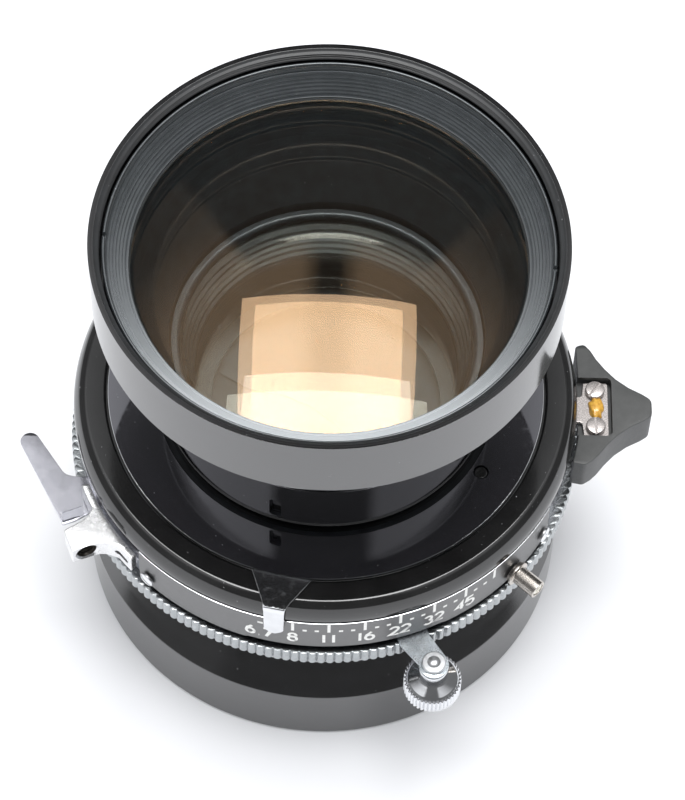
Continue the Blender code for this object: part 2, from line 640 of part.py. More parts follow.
def cocking_lever():
    ring_edge = arc(37.2, 4.5, 355.5, 44)
    stem = [(50.9, -2.9), (51.6, -6.2), (56.6, -6.2), (56.6, 6.2), (51.6, 6.2), (50.9, 2.9)]
    flat("cocking_ring", "satin_chrome", [ring_edge + stem, circle(33.2, ROUND_STEPS)],
         COCKING_LOW, COCKING_HIGH, turn=HANDLE_AZIMUTH)
    inner = [(50.1, 14.1)] + arc(50.7, 3.0, -14.8, 8)
    lower = [(51.8, -13.4), (53.2, -12.4), (55.3, -9.9), (57.2, -7.6), (59.4, -5.6), (61.9, -4.0),
             (64.2, -2.6)]
    tip = arc(1.9, -60.0, 60.0, 5, (63.8, 0.0))
    upper = [(x, -y) for x, y in lower[:1:-1]] + [(53.2, 13.1), (52.2, 14.6)]
    outline = inner + lower + tip + upper
    handle = flat("cocking_handle", "black_plastic", [outline], HANDLE_LOW, HANDLE_HIGH,
                  turn=HANDLE_AZIMUTH)
    turn = Matrix.Rotation(math.radians(HANDLE_AZIMUTH), 4, "Z")
    pocket = ("box", (10.8, 13.2, 4.0), turn @ shift(51.9, 0.0, COCKING_LOW - GAP + 2.0))
    boolean(handle, helper("handle_pocket", [pocket]), "DIFFERENCE")
    for i, side in enumerate((4.15, -4.15)):
        frame = turn @ shift(54.0, side, COCKING_HIGH + GAP)
        slotted_head(f"handle_screw_{i + 1}", "satin_chrome", frame, 35.0, 1.9, 1.0)


def release():
    facing_angle = -66.6
    front = Vector(polar(1.0, facing_angle))
    corner_a, corner_b, corner_c, corner_j = (-50.5, -29.7), (-48.6, -34.4), (-42.8, -31.9), (-46.3, -26.9)
    outline = (arc(51.5, -158.3, -151.0, 3) + [corner_j, corner_a, corner_b, corner_c]
               + arc(51.5, -141.2, -135.6, 2) + arc(49.9, -135.6, -158.3, 8))
    bracket = flat("release_bracket", "chrome", [outline], BRACKET_LOW, BRACKET_HIGH)
    mouth = (Vector(corner_b) + Vector(corner_c)) / 2.0
    middle = mouth - front * 4.0
    hole = ("cone", (SOCKET_RADIUS, SOCKET_RADIUS, 14.0, 16),
            facing(middle.x, middle.y, SOCKET_HEIGHT, facing_angle))
    x, y = polar(50.7, -138.6)
    window = ("box", (1.3, 3.4, 6.0), facing(x, y, 45.6, -138.6))
    boolean(bracket, helper("release_socket", [hole]), "DIFFERENCE")
    boolean(bracket, helper("bracket_window", [window]), "DIFFERENCE")
    tip = arc(1.95, 28.0, 208.0, 8, (-59.1, -6.8))
    lever = (tip + [(-52.4, -23.3), (-51.3, -25.6), (-48.9, -24.6)] + arc(49.6, -154.0, -153.0, 1)
             + [polar(46.7, -153.0)] + arc(45.2, -153.0, -163.0, 3) + [polar(46.7, -163.0)]
             + [polar(49.6, -163.0), (-49.4, -14.6), (-51.4, -14.4)])
    release_lever = flat("release_lever", "satin_chrome", [lever], RELEASE_LOW, RELEASE_HIGH)
    turn = Matrix.Rotation(math.radians(facing_angle + 90.0), 4, "Z")
    tab = helper("release_tab", [("box", (4.4, 0.9, 4.2), shift(-49.4, -23.9, 44.5) @ turn)])
    boolean(release_lever, tab, "UNION")


empty_file()
PARTS = new_collection("view_camera_lens")
CUTTERS = new_collection("cutters")
front_cell()
rear_cell()
shutter_case()
speed_ring()
aperture_scale()
sync_socket()
aperture_train()
iris()
shutter_blades()
mechanism()
pointer()
aperture_knob()
cocking_lever()
release()
for piece in PARTS.objects:
    piece.data.shade_smooth()
    piece.data.set_sharp_from_angle(angle=math.radians(35.0))
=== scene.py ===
"""Looks of the view-camera lens in its leaf shutter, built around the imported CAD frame.

Lengths are millimetres and angles degrees; MM turns them into Blender's metres.
The optical axis is +Z, azimuths run from +X towards +Y, and the aperture scale faces -Y.
"""
import json
import math

import bmesh
import bpy
from mathutils import Matrix, Vector


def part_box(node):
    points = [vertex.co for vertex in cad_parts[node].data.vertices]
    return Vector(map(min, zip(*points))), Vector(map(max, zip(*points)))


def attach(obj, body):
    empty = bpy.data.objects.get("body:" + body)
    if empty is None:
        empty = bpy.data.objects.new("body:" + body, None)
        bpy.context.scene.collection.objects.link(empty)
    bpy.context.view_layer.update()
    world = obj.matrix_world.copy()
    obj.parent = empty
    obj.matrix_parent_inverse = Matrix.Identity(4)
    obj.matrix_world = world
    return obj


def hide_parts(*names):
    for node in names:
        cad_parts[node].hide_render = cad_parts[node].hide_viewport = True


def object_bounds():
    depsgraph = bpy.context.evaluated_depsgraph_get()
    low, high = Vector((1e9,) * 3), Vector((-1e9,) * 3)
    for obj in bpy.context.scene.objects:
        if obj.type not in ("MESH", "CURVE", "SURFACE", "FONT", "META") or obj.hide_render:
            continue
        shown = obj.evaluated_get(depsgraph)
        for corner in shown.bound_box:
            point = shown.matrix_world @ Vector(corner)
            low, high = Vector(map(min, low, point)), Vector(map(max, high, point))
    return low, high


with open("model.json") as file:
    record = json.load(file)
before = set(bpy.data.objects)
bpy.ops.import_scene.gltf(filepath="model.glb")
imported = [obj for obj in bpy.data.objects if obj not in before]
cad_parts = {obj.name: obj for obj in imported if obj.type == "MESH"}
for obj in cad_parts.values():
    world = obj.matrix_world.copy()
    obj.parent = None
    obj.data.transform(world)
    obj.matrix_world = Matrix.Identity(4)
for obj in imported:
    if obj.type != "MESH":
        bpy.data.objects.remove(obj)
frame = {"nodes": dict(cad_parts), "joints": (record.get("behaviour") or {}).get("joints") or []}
cad_low, cad_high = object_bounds()

MM = 0.001
FINE = 224  # facets of a large turned piece
EDGE = 0.18  # usual rounding of a machined edge


def low(node):
    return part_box(node)[0].z / MM


def high(node):
    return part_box(node)[1].z / MM


def radius(node):
    corner_low, corner_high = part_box(node)
    return (corner_high.x - corner_low.x) / 2.0 / MM


def centre(node):
    corner_low, corner_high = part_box(node)
    return (corner_low + corner_high) / 2.0 / MM


def joint_range(name):
    return next(joint for joint in frame["joints"] if joint["name"] == name)["range_deg"]


def azimuth_of(node):
    point = centre(node)
    return math.degrees(math.atan2(point.y, point.x))


# ---- materials -----------------------------------------------------------

def add(tree, kind, settings=None, **inputs):
    """A shader node with its settings, and its inputs set to values or linked to sockets."""
    made = tree.nodes.new(kind)
    for name, value in (settings or {}).items():
        setattr(made, name, value)
    for name, value in inputs.items():
        numbered = name[0] == "i" and name[1:].isdigit()
        socket = made.inputs[int(name[1:]) if numbered else name.replace("_", " ")]
        if isinstance(value, bpy.types.NodeSocket):
            tree.links.new(value, socket)
        else:
            socket.default_value = value
    return made


def maths(tree, operation, *values):
    inputs = {f"i{i}": value for i, value in enumerate(values)}
    return add(tree, "ShaderNodeMath", {"operation": operation}, **inputs).outputs[0]


def mix(tree, factor, first, second):
    """Blend two colours, each a socket or (red, green, blue, alpha)."""
    return add(tree, "ShaderNodeMix", {"data_type": "RGBA"}, i0=factor, i6=first, i7=second).outputs[2]


def spread(tree, value, start, end, dark, light):
    """Stretch part of a value's range over two values."""
    mapped = add(tree, "ShaderNodeMapRange", None, Value=value, From_Min=start, From_Max=end,
                 To_Min=dark, To_Max=light)
    return mapped.outputs["Result"]


def blotches(tree, place, scale, detail=3.0):
    """Noise with features of about one over scale millimetres."""
    return add(tree, "ShaderNodeTexNoise", None, Vector=place, Scale=scale, Detail=detail).outputs["Fac"]


def grooves(tree, place, per_mm):
    """Noise that changes only with height and distance from the optical axis, as a lathe leaves it."""
    x, y, z = add(tree, "ShaderNodeSeparateXYZ", None, Vector=place).outputs
    out = maths(tree, "SQRT", maths(tree, "MULTIPLY_ADD", y, y, maths(tree, "MULTIPLY", x, x)))
    along = maths(tree, "ADD", out, z)
    noise = add(tree, "ShaderNodeTexNoise", {"noise_dimensions": "1D"}, W=along, Scale=per_mm, Detail=2.0)
    return noise.outputs["Fac"]


def started(name):
    """A new material, its node tree and shader, and the place on the object in millimetres."""
    material = bpy.data.materials.new(name)
    material.use_nodes = True
    tree = material.node_tree
    where = add(tree, "ShaderNodeTexCoord").outputs["Object"]
    place = add(tree, "ShaderNodeMapping", None, Vector=where, Scale=(1 / MM,) * 3).outputs[0]
    return material, tree, tree.nodes["Principled BSDF"], place


MOST_NOISE = (0.3, 0.7)  # where nearly all values of a noise lie
SCUFF_SCALE, DUST_SCALE = 0.9, 2.1
DUST_COLOUR = (0.5, 0.5, 0.52, 1.0)


def finish(name, dark, light, metallic=0.0, roughness=(0.2, 0.3), scale=0.4, bump=0.0, grain=4.0,
           lathe=False, stretch=None, dust=0.0, ior=1.5, coat=0.0, tint=None, scuffs=0.0):
    """A procedural surface: two tones, uneven gloss, grain or lathe marks, dust and scuffs."""
    material, tree, shader, place = started(name)
    tone = spread(tree, blotches(tree, place, scale), *MOST_NOISE, 0.0, 1.0)
    colour = mix(tree, tone, (*dark, 1.0), (*light, 1.0))
    if lathe:
        fine = grooves(tree, place, grain)
    elif stretch:
        drawn = add(tree, "ShaderNodeMapping", None, Vector=place, Scale=stretch).outputs[0]
        fine = blotches(tree, drawn, grain)
    else:
        fine = blotches(tree, place, grain)
    rough = spread(tree, fine, *MOST_NOISE, *roughness)
    if scuffs:
        mask = spread(tree, blotches(tree, place, SCUFF_SCALE, 8.0), 0.56, 0.66, 0.0, scuffs)
        rough = maths(tree, "ADD", rough, mask)
    if dust:
        spot = spread(tree, blotches(tree, place, DUST_SCALE, 1.0), 0.79, 0.82, 0.0, dust)
        colour = mix(tree, spot, colour, DUST_COLOUR)
        rough = maths(tree, "ADD", rough, spot)
    tree.links.new(colour, shader.inputs["Base Color"])
    tree.links.new(rough, shader.inputs["Roughness"])
    if bump:
        raised = add(tree, "ShaderNodeBump", None, Height=fine, Strength=bump, Distance=0.02 * MM)
        tree.links.new(raised.outputs[0], shader.inputs["Normal"])
    shader.inputs["Metallic"].default_value = metallic
    shader.inputs["IOR"].default_value = ior
    shader.inputs["Coat Weight"].default_value = coat
    if tint:
        shader.inputs["Specular Tint"].default_value = (*tint, 1.0)
    return material


def coated_glass(name, reflection, body):
    """Solid glass whose coating reflects one colour. Lamps light what is behind it."""
    material, tree, shader, place = started(name)
    haze = spread(tree, blotches(tree, place, 0.12), *MOST_NOISE, 0.94, 1.0)
    tone = mix(tree, haze, (0.9, 0.9, 0.88, 1.0), (*body, 1.0))
    tree.links.new(tone, shader.inputs["Base Color"])
    shader.inputs["Roughness"].default_value = 0.0
    shader.inputs["IOR"].default_value = 1.6
    shader.inputs["Transmission Weight"].default_value = 1.0
    shader.inputs["Specular Tint"].default_value = (*reflection, 1.0)
    path = add(tree, "ShaderNodeLightPath").outputs
    passed = maths(tree, "MAXIMUM", path["Is Shadow Ray"], path["Is Diffuse Ray"])
    clear = add(tree, "ShaderNodeBsdfTransparent", None, Color=(0.9, 0.92, 0.9, 1.0))
    mixed = add(tree, "ShaderNodeMixShader", None, Fac=passed, i1=shader.outputs[0], i2=clear.outputs[0])
    tree.links.new(mixed.outputs[0], tree.nodes["Material Output"].inputs["Surface"])
    return material


ANODISED = finish("anodised_black", (0.004, 0.004, 0.004), (0.007, 0.007, 0.008), roughness=(0.07, 0.14),
                  lathe=True, grain=2.2, bump=0.12, dust=0.5, ior=2.1)
RIDGED = finish("ridged_black", (0.026, 0.029, 0.031), (0.036, 0.040, 0.043), roughness=(0.24, 0.36),
                lathe=True, grain=3.0, bump=0.1, dust=0.7, ior=2.1, tint=(0.92, 0.97, 1.0))
THREAD = finish("thread_black", (0.012, 0.013, 0.014), (0.018, 0.020, 0.022), roughness=(0.3, 0.42),
                lathe=True, grain=3.0, bump=0.1, dust=0.7, ior=2.0)
BAFFLE = finish("baffle_black", (0.007, 0.008, 0.010), (0.014, 0.017, 0.020), roughness=(0.32, 0.46),
                lathe=True, grain=2.0, bump=0.3, dust=0.4)
# painted shade: a dark metal colour for the inside of the release socket, standing in for the shade in the
# hole
SOCKET_PAINTED_SHADE = finish("socket_dark", (0.05, 0.045, 0.04), (0.10, 0.09, 0.08), 0.8, (0.3, 0.5), grain=4.0)
COLLAR = finish("satin_white", (0.72, 0.73, 0.75), (0.82, 0.83, 0.84), 1.0, (0.3, 0.42), scale=1.0,
                grain=5.0, bump=0.08)
ENAMEL = finish("enamel_black", (0.007, 0.007, 0.007), (0.012, 0.012, 0.012), roughness=(0.09, 0.15),
                scale=0.15, grain=6.0, bump=0.06, dust=0.6, ior=1.75)
POLISHED = finish("polished_black", (0.010, 0.010, 0.012), (0.016, 0.015, 0.018), roughness=(0.03, 0.07),
                  scale=0.1, grain=1.2, dust=0.8, ior=3.7, tint=(0.93, 0.93, 1.0), scuffs=0.05)
SCALE = finish("scale_black", (0.012, 0.012, 0.013), (0.018, 0.018, 0.020), roughness=(0.34, 0.42),
               stretch=(0.3, 0.3, 4.0), grain=3.0, bump=0.1, dust=0.4, ior=2.4)
PAINT = finish("white_paint", (0.72, 0.72, 0.70), (0.86, 0.86, 0.84), roughness=(0.4, 0.6), scale=2.0,
               bump=0.3)
CHROME = finish("bright_chrome", (0.70, 0.71, 0.73), (0.79, 0.80, 0.82), 1.0, (0.05, 0.11), scale=0.3,
                grain=1.5, bump=0.03, scuffs=0.12)
CAST = finish("cast_chrome", (0.74, 0.74, 0.75), (0.84, 0.84, 0.84), 1.0, (0.2, 0.34), scale=1.2,
              grain=7.0, bump=0.35, scuffs=0.12)
SATIN = finish("satin_metal", (0.56, 0.56, 0.61), (0.64, 0.64, 0.69), 1.0, (0.14, 0.2), scale=0.5,
               grain=5.0, bump=0.12, scuffs=0.03)
PLATED = finish("zinc_plate", (0.56, 0.61, 0.65), (0.66, 0.70, 0.73), 1.0, (0.24, 0.32), scale=0.8,
                grain=6.0, bump=0.1, scuffs=0.04)
STAMPED = finish("stamped_metal", (0.52, 0.48, 0.46), (0.60, 0.56, 0.54), 0.7, (0.22, 0.3), scale=0.5,
                 grain=5.0, bump=0.05)
TEETH = finish("toothed_chrome", (0.36, 0.38, 0.39), (0.46, 0.48, 0.49), 1.0, (0.16, 0.28), scale=1.5,
               grain=5.0, bump=0.2)
NICKEL = finish("nickel", (0.50, 0.46, 0.42), (0.62, 0.58, 0.53), 1.0, (0.2, 0.3), scale=0.8,
                grain=4.0, stretch=(1.0, 1.0, 5.0), bump=0.2)
STEEL = finish("turned_steel", (0.42, 0.42, 0.43), (0.58, 0.58, 0.60), 1.0, (0.3, 0.42), lathe=True,
               grain=3.0, bump=0.3)
BRASS = finish("brass", (0.62, 0.46, 0.20), (0.78, 0.60, 0.30), 1.0, (0.25, 0.38), grain=4.0, bump=0.2)
BLADE = finish("blade_steel", (0.020, 0.020, 0.022), (0.040, 0.040, 0.044), 0.6, (0.35, 0.5), grain=5.0,
               bump=0.1)
PLASTIC = finish("moulded_black", (0.022, 0.024, 0.023), (0.034, 0.036, 0.035), 0.0, (0.42, 0.55),
                 scale=0.6, stretch=(1.0, 4.0, 1.0), grain=3.5, bump=0.35, dust=0.3, ior=1.75)
INSULATOR = finish("ivory_insulator", (0.74, 0.71, 0.62), (0.86, 0.84, 0.77), 0.0, (0.35, 0.5), grain=5.0,
                   bump=0.1)
LACQUER = finish("amber_lacquer", (0.50, 0.24, 0.03), (0.78, 0.46, 0.08), 0.0, (0.1, 0.25), scale=1.4,
                 grain=2.0, bump=0.5, coat=0.8)
FRONT_GLASS = coated_glass("front_coated_glass", (1.0, 0.64, 0.36), (0.97, 0.98, 0.95))
INNER_GLASS = coated_glass("inner_coated_glass", (1.0, 0.86, 0.72), (0.97, 0.98, 0.96))


# ---- meshes --------------------------------------------------------------

def polar(distance, azimuth):
    angle = math.radians(azimuth)
    return distance * math.cos(angle), distance * math.sin(angle)


def arc(distance, start, end, steps, middle=(0.0, 0.0)):
    points = []
    for i in range(steps + 1):
        x, y = polar(distance, start + (end - start) * i / steps)
        points.append((middle[0] + x, middle[1] + y))
    return points


def softened(points, size, closed=True, steps=3):
    """An outline whose corners are rounded, each by at most size and by half its shorter side."""
    rounded = []
    count = len(points)
    for i, point in enumerate(points):
        here = Vector(point[:2])
        reach = point[2] if len(point) > 2 else size
        before = Vector(points[i - 1][:2]) - here
        after = Vector(points[(i + 1) % count][:2]) - here
        at_end = not closed and i in (0, count - 1)
        if at_end or reach == 0.0 or before.angle(after) > math.radians(168.0):
            rounded.append(tuple(here))
            continue
        reach = min(reach, before.length * 0.48, after.length * 0.48)
        first, last = here + before.normalized() * reach, here + after.normalized() * reach
        for k in range(steps + 1):
            t = k / steps
            rounded.append(tuple(first * (1 - t) ** 2 + here * (2 * t * (1 - t)) + last * t ** 2))
    return rounded


SHARP = 32.0  # a crease of more than this angle stays sharp


def piece(name, body, mesh, material, stands_for=(), matrix=None, sharp=SHARP, weighted=True):
    """Put a mesh in millimetres into the scene as a piece that rides on a body.
    Weighted normals keep its broad faces even, with only its rounded rims shaded smooth."""
    mesh.transform(Matrix.Scale(MM, 4) @ (matrix or Matrix.Identity(4)))
    mesh.materials.clear()
    mesh.materials.append(material)
    mesh.shade_smooth()
    mesh.set_sharp_from_angle(angle=math.radians(sharp))
    obj = bpy.data.objects.new(name, mesh)
    bpy.context.scene.collection.objects.link(obj)
    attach(obj, body)
    if stands_for:
        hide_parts(*stands_for)
    if weighted:
        even_faces(obj)
    return obj


def even_faces(obj):
    step = obj.modifiers.new("rims", "WEIGHTED_NORMAL")
    step.keep_sharp = True


def mesh_from(name, build):
    """A mesh that a function fills in, with its faces turned outward."""
    work = bmesh.new()
    build(work)
    bmesh.ops.remove_doubles(work, verts=work.verts, dist=0.0004)
    bmesh.ops.recalc_face_normals(work, faces=work.faces)
    mesh = bpy.data.meshes.new(name)
    work.to_mesh(mesh)
    work.free()
    return mesh


def turned_mesh(name, profile, steps=FINE, edge=EDGE, knurl=None):
    """A turned mesh from its section as (radius, height[, rounding]), which may be knurled.
    A knurl is (outer radius from which it starts, depth, count)."""
    closed = not (profile[0][0] == 0.0 and profile[-1][0] == 0.0)
    section = softened(profile, edge, closed)

    def build(work):
        rows = []
        for distance, height in section:
            if distance < 1e-6:
                rows.append([work.verts.new((0.0, 0.0, height))])
                continue
            row = []
            for i in range(steps):
                angle = 2.0 * math.pi * i / steps
                out = distance
                if knurl and distance > knurl[0]:
                    out += knurl[1] * (abs(math.cos(angle * knurl[2] / 2.0)) - 1.0)
                row.append(work.verts.new((out * math.cos(angle), out * math.sin(angle), height)))
            rows.append(row)
        pairs = list(zip(rows, rows[1:]))
        if closed:
            pairs.append((rows[-1], rows[0]))
        for a, b in pairs:
            for i in range(steps):
                k = (i + 1) % steps
                if len(a) == 1 and len(b) == 1:
                    break
                if len(a) == 1:
                    work.faces.new((a[0], b[i], b[k]))
                elif len(b) == 1:
                    work.faces.new((a[i], b[0], a[k]))
                else:
                    work.faces.new((a[i], b[i], b[k], a[k]))

    return mesh_from(name, build)


def sheet_mesh(name, outlines, bottom, top, edge=EDGE):
    """A flat piece between two heights from its outline and holes, with rounded rims."""
    curve = bpy.data.curves.new(name, "CURVE")
    curve.dimensions = "2D"
    curve.fill_mode = "BOTH"
    curve.extrude = (top - bottom) / 2.0 - edge
    curve.bevel_depth = edge
    curve.bevel_resolution = 1
    curve.offset = -edge
    for outline in outlines:
        spline = curve.splines.new("POLY")
        spline.points.add(len(outline) - 1)
        spline.use_cyclic_u = True
        for point, (x, y) in zip(spline.points, outline):
            point.co = (x, y, 0.0, 1.0)
    guide = bpy.data.objects.new(name, curve)
    bpy.context.scene.collection.objects.link(guide)
    graph = bpy.context.evaluated_depsgraph_get()
    raw = bpy.data.meshes.new_from_object(guide.evaluated_get(graph))
    bpy.data.objects.remove(guide, do_unlink=True)
    raw.transform(Matrix.Translation((0.0, 0.0, (bottom + top) / 2.0)))
    return mesh_from(name, lambda work: work.from_mesh(raw))


def box_mesh(name, size, matrix, edge=0.0):
    def build(work):
        made = bmesh.ops.create_cube(work, size=1.0)
        bmesh.ops.transform(work, matrix=Matrix.Diagonal((*size, 1.0)), verts=made["verts"])
        if edge:
            bmesh.ops.bevel(work, geom=work.edges[:], offset=edge, segments=2, affect="EDGES")
        bmesh.ops.transform(work, matrix=matrix, verts=work.verts)
    return mesh_from(name, build)


def combined(obj, mesh, operation):
    """Cut a mesh in millimetres away from a piece, or join it on."""
    mesh.transform(Matrix.Scale(MM, 4))
    other = bpy.data.objects.new("cutter", mesh)
    bpy.context.scene.collection.objects.link(other)
    step = obj.modifiers.new("shape", "BOOLEAN")
    step.operation = operation
    step.solver = "EXACT"
    step.object = other
    rims = obj.modifiers.get("rims")
    if rims:
        obj.modifiers.remove(rims)
    graph = bpy.context.evaluated_depsgraph_get()
    made = bpy.data.meshes.new_from_object(obj.evaluated_get(graph))
    obj.modifiers.clear()
    obj.data = made
    bpy.data.objects.remove(other, do_unlink=True)
    made.set_sharp_from_angle(angle=math.radians(SHARP))
    even_faces(obj)
    return obj


def painted(obj, material, test):
    """Give a second material to the faces that pass a test of their middle, in millimetres, and normal."""
    obj.data.materials.append(material)
    index = len(obj.data.materials) - 1
    for face in obj.data.polygons:
        if test(face.center / MM, face.normal):
            face.material_index = index
    return obj


def shift(x, y, z):
    return Matrix.Translation((x, y, z))


def spun(azimuth):
    return Matrix.Rotation(math.radians(azimuth), 4, "Z")


def facing(distance, height, azimuth):
    """A frame whose local Z looks outward along an azimuth."""
    x, y = polar(distance, azimuth)
    return shift(x, y, height) @ spun(azimuth) @ Matrix.Rotation(math.pi / 2, 4, "Y")


def screw(node, body, matrix, size, height, slot_angle, material, dome=0.25):
    """A slotted screw head with rounded edges, standing on the XY plane of its frame."""
    profile = [(0.0, height + dome), (size * 0.55, height + dome * 0.75, 0.3), (size * 0.93, height),
               (size, height * 0.8), (size, 0.0), (0.0, 0.0)]
    mesh = turned_mesh(node + "_head", profile, 48, 0.12)
    obj = piece(node + "_head", body, mesh, material, [node], matrix=matrix)
    turn = Matrix.Rotation(math.radians(slot_angle), 4, "Z")
    slot = box_mesh("slot", (size * 3.0, size * 0.26, height), matrix @ shift(0, 0, height + dome) @ turn)
    return combined(obj, slot, "DIFFERENCE")


# ---- front cell ----------------------------------------------------------

RIM, RIM_TOP = radius("front_barrel"), high("front_barrel")
NECK, NECK_FOOT = 32.6, low("front_barrel") + 6.7
SEAT = high("front_retaining_ring")


def front_barrel():
    """The barrel: rim with its filter thread, cone, neck with a groove, and stepped baffles inside."""
    foot, pitch = low("front_barrel"), 0.62
    thread = []
    for turn in range(3):
        root_up, crest_up = SEAT + 0.25 + pitch * turn, SEAT + 0.56 + pitch * turn
        thread += [(RIM - 1.95, root_up, 0.05), (RIM - 1.4, crest_up, 0.05)]
    baffles = []
    for step in range(5):
        out = 25.2 + 0.62 * step
        baffles += [(out, 60.4 + 1.1 * step, 0.05), (out, 61.2 + 1.1 * step, 0.05)]
    profile = [
        (RIM - 1.0, RIM_TOP, 0.04), (RIM, RIM_TOP, 0.04), (RIM, RIM_TOP - 15.0),
        (RIM - 0.7, RIM_TOP - 15.7, 0.05), (NECK, 72.0, 0.6), (NECK, NECK_FOOT + 3.4),
        (NECK - 0.3, NECK_FOOT + 3.2), (NECK - 0.3, NECK_FOOT + 2.8), (NECK, NECK_FOOT + 2.6),
        (NECK, NECK_FOOT), (30.3, NECK_FOOT), (30.3, 54.9), (27.9, 54.9), (27.9, foot), (25.0, foot),
        (25.0, 60.0)]
    profile += baffles + [(28.6, 66.2), (30.2, 66.2), (30.2, 74.5), (38.6, 90.2), (38.6, 91.0),
                          (41.2, 91.0), (41.2, 101.0), (RIM - 2.1, 101.0), (RIM - 2.1, SEAT + 0.1)]
    profile += thread
    obj = piece("front_barrel_turned", "shutter", turned_mesh("front_barrel_turned", profile),
                ANODISED, ["front_barrel"])
    for azimuth in (-105.8, 74.2):
        notch = box_mesh("notch", (5.6, 2.4, 2.2), facing(NECK, 62.8, azimuth), 0.3)
        combined(obj, notch, "DIFFERENCE")
    painted(obj, BAFFLE, lambda at, normal: math.hypot(at.x, at.y) < 41.0 and at.z < 91.5
            and normal.x * at.x + normal.y * at.y < 0.1)
    painted(obj, THREAD, lambda at, normal: at.z > SEAT - 0.1 and math.hypot(at.x, at.y) < RIM - 0.95)


def front_ring():
    """The threaded ring over the front glass, with its ridged cone and two spanner slots."""
    inner, lip = 37.3, 101.9
    ridges, outer_ridge, top_ridge = 7, 41.7, SEAT - 1.7
    profile = [(42.55, SEAT - 0.4), (42.35, SEAT, 0.15), (41.95, SEAT, 0.15), (41.8, SEAT - 0.4),
               (41.8, top_ridge)]
    pitch_in, pitch_down = (outer_ridge - inner - 0.3) / ridges, (top_ridge - lip - 0.5) / ridges
    for step in range(ridges):
        crest_out, crest_up = outer_ridge - step * pitch_in, top_ridge - step * pitch_down
        profile += [(crest_out, crest_up - 0.42, 0.04),
                    (crest_out - pitch_in, crest_up - pitch_down + 0.12, 0.06)]
    profile += [(inner + 0.2, lip + 0.3), (inner, lip), (inner, lip - 0.6), (42.4, lip - 0.6)]
    obj = piece("front_ring_ridged", "shutter", turned_mesh("front_ring_ridged", profile, edge=0.06),
                RIDGED, ["front_retaining_ring"])
    for azimuth in (178.8, -4.4):
        x, y = polar(42.2, azimuth)
        combined(obj, box_mesh("slot", (1.6, 1.1, 2.4), shift(x, y, SEAT) @ spun(azimuth)), "DIFFERENCE")


def lens(node, material, upper, lower):
    """A glass element from its two surfaces.
    A surface is its height on the axis and at the polished edge and, if it has a flat land, the polished
    radius and the land's height."""
    reach, rings = radius(node), 22

    def surface(vertex, edge, polished=reach, land=None):
        sag = vertex - edge
        bend = (polished * polished + sag * sag) / (2.0 * sag)
        points = []
        for i in range(rings + 1):
            out = polished * i / rings
            drop = abs(bend) - math.sqrt(bend * bend - out * out)
            points.append((out, vertex - math.copysign(drop, sag), 0.0))
        if land:
            points += [(polished + 0.5, land, 0.0), (reach, land, 0.0)]
        return points

    profile = surface(*upper) + surface(*lower)[::-1]
    mesh = turned_mesh(node + "_polished", profile, 128)
    return piece(node + "_polished", "shutter", mesh, material, [node], weighted=False)


def front_cell():
    front_barrel()
    front_ring()
    lens("front_outer_element", FRONT_GLASS, upper=(107.0, 99.8), lower=(98.0, 91.43, 36.0, 91.4))
    lens("front_inner_element", INNER_GLASS, upper=(75.2, 72.24, 27.6, 70.6), lower=(69.6, 66.5))
    profile = [(29.9, 72.8), (29.9, 70.9), (28.2, 70.9), (28.2, 72.3, 0.3), (28.7, 72.8, 0.3)]
    piece("front_inner_ring_turned", "shutter", turned_mesh("front_inner_ring_turned", profile, edge=0.08),
          BAFFLE, ["front_inner_lock_ring"])


# ---- rear cell -----------------------------------------------------------

def rear_cell():
    foot = radius("rear_barrel")
    profile = [
        (28.4, 35.9), (28.4, 26.9), (40.2, 26.9), (40.9, 26.2), (foot, 16.0), (foot, 15.2), (foot, 0.7),
        (48.2, 0.0), (46.6, 0.0), (46.2, 0.5), (46.2, 9.0), (44.3, 9.0), (44.3, 15.2), (41.0, 15.2),
        (41.0, 17.0)]
    for step in range(5):
        out, up = 40.2 - 2.0 * step, 17.6 + 1.15 * step
        profile += [(out, up, 0.1), (out - 1.5, up + 0.1, 0.1)]
    profile += [(30.0, 23.4), (24.6, 24.6), (24.6, 26.5), (26.2, 26.5), (26.2, 35.9)]
    obj = piece("rear_barrel_turned", "shutter", turned_mesh("rear_barrel_turned", profile), ANODISED,
                ["rear_barrel"])
    painted(obj, BAFFLE, lambda at, normal: normal.x * at.x + normal.y * at.y < -0.001 and at.z > 9.0)
    lens("rear_outer_element", INNER_GLASS, upper=(11.4, 14.9), lower=(3.0, 9.6))
    lens("rear_inner_element", INNER_GLASS, upper=(31.2, 32.6), lower=(24.9, 26.9))
    ring = [(45.9, 8.7), (45.9, 3.0), (45.3, 2.9), (44.6, 3.6), (44.0, 3.0), (43.3, 3.7), (42.4, 3.4),
            (42.4, 8.7)]
    piece("rear_ring_turned", "shutter", turned_mesh("rear_ring_turned", ring, edge=0.1), RIDGED,
          ["rear_retaining_ring"])


# ---- shutter case --------------------------------------------------------

WALL = radius("shutter_housing")
LEVER_AZIMUTH, HANDLE_AZIMUTH, POINTER_AZIMUTH = -68.1, 0.9, -99.5
COVER_LOW, COVER_TOP = low("front_cover"), high("front_cover")
DISC, DISC_TOP = radius("pointer_disc"), high("pointer_disc")


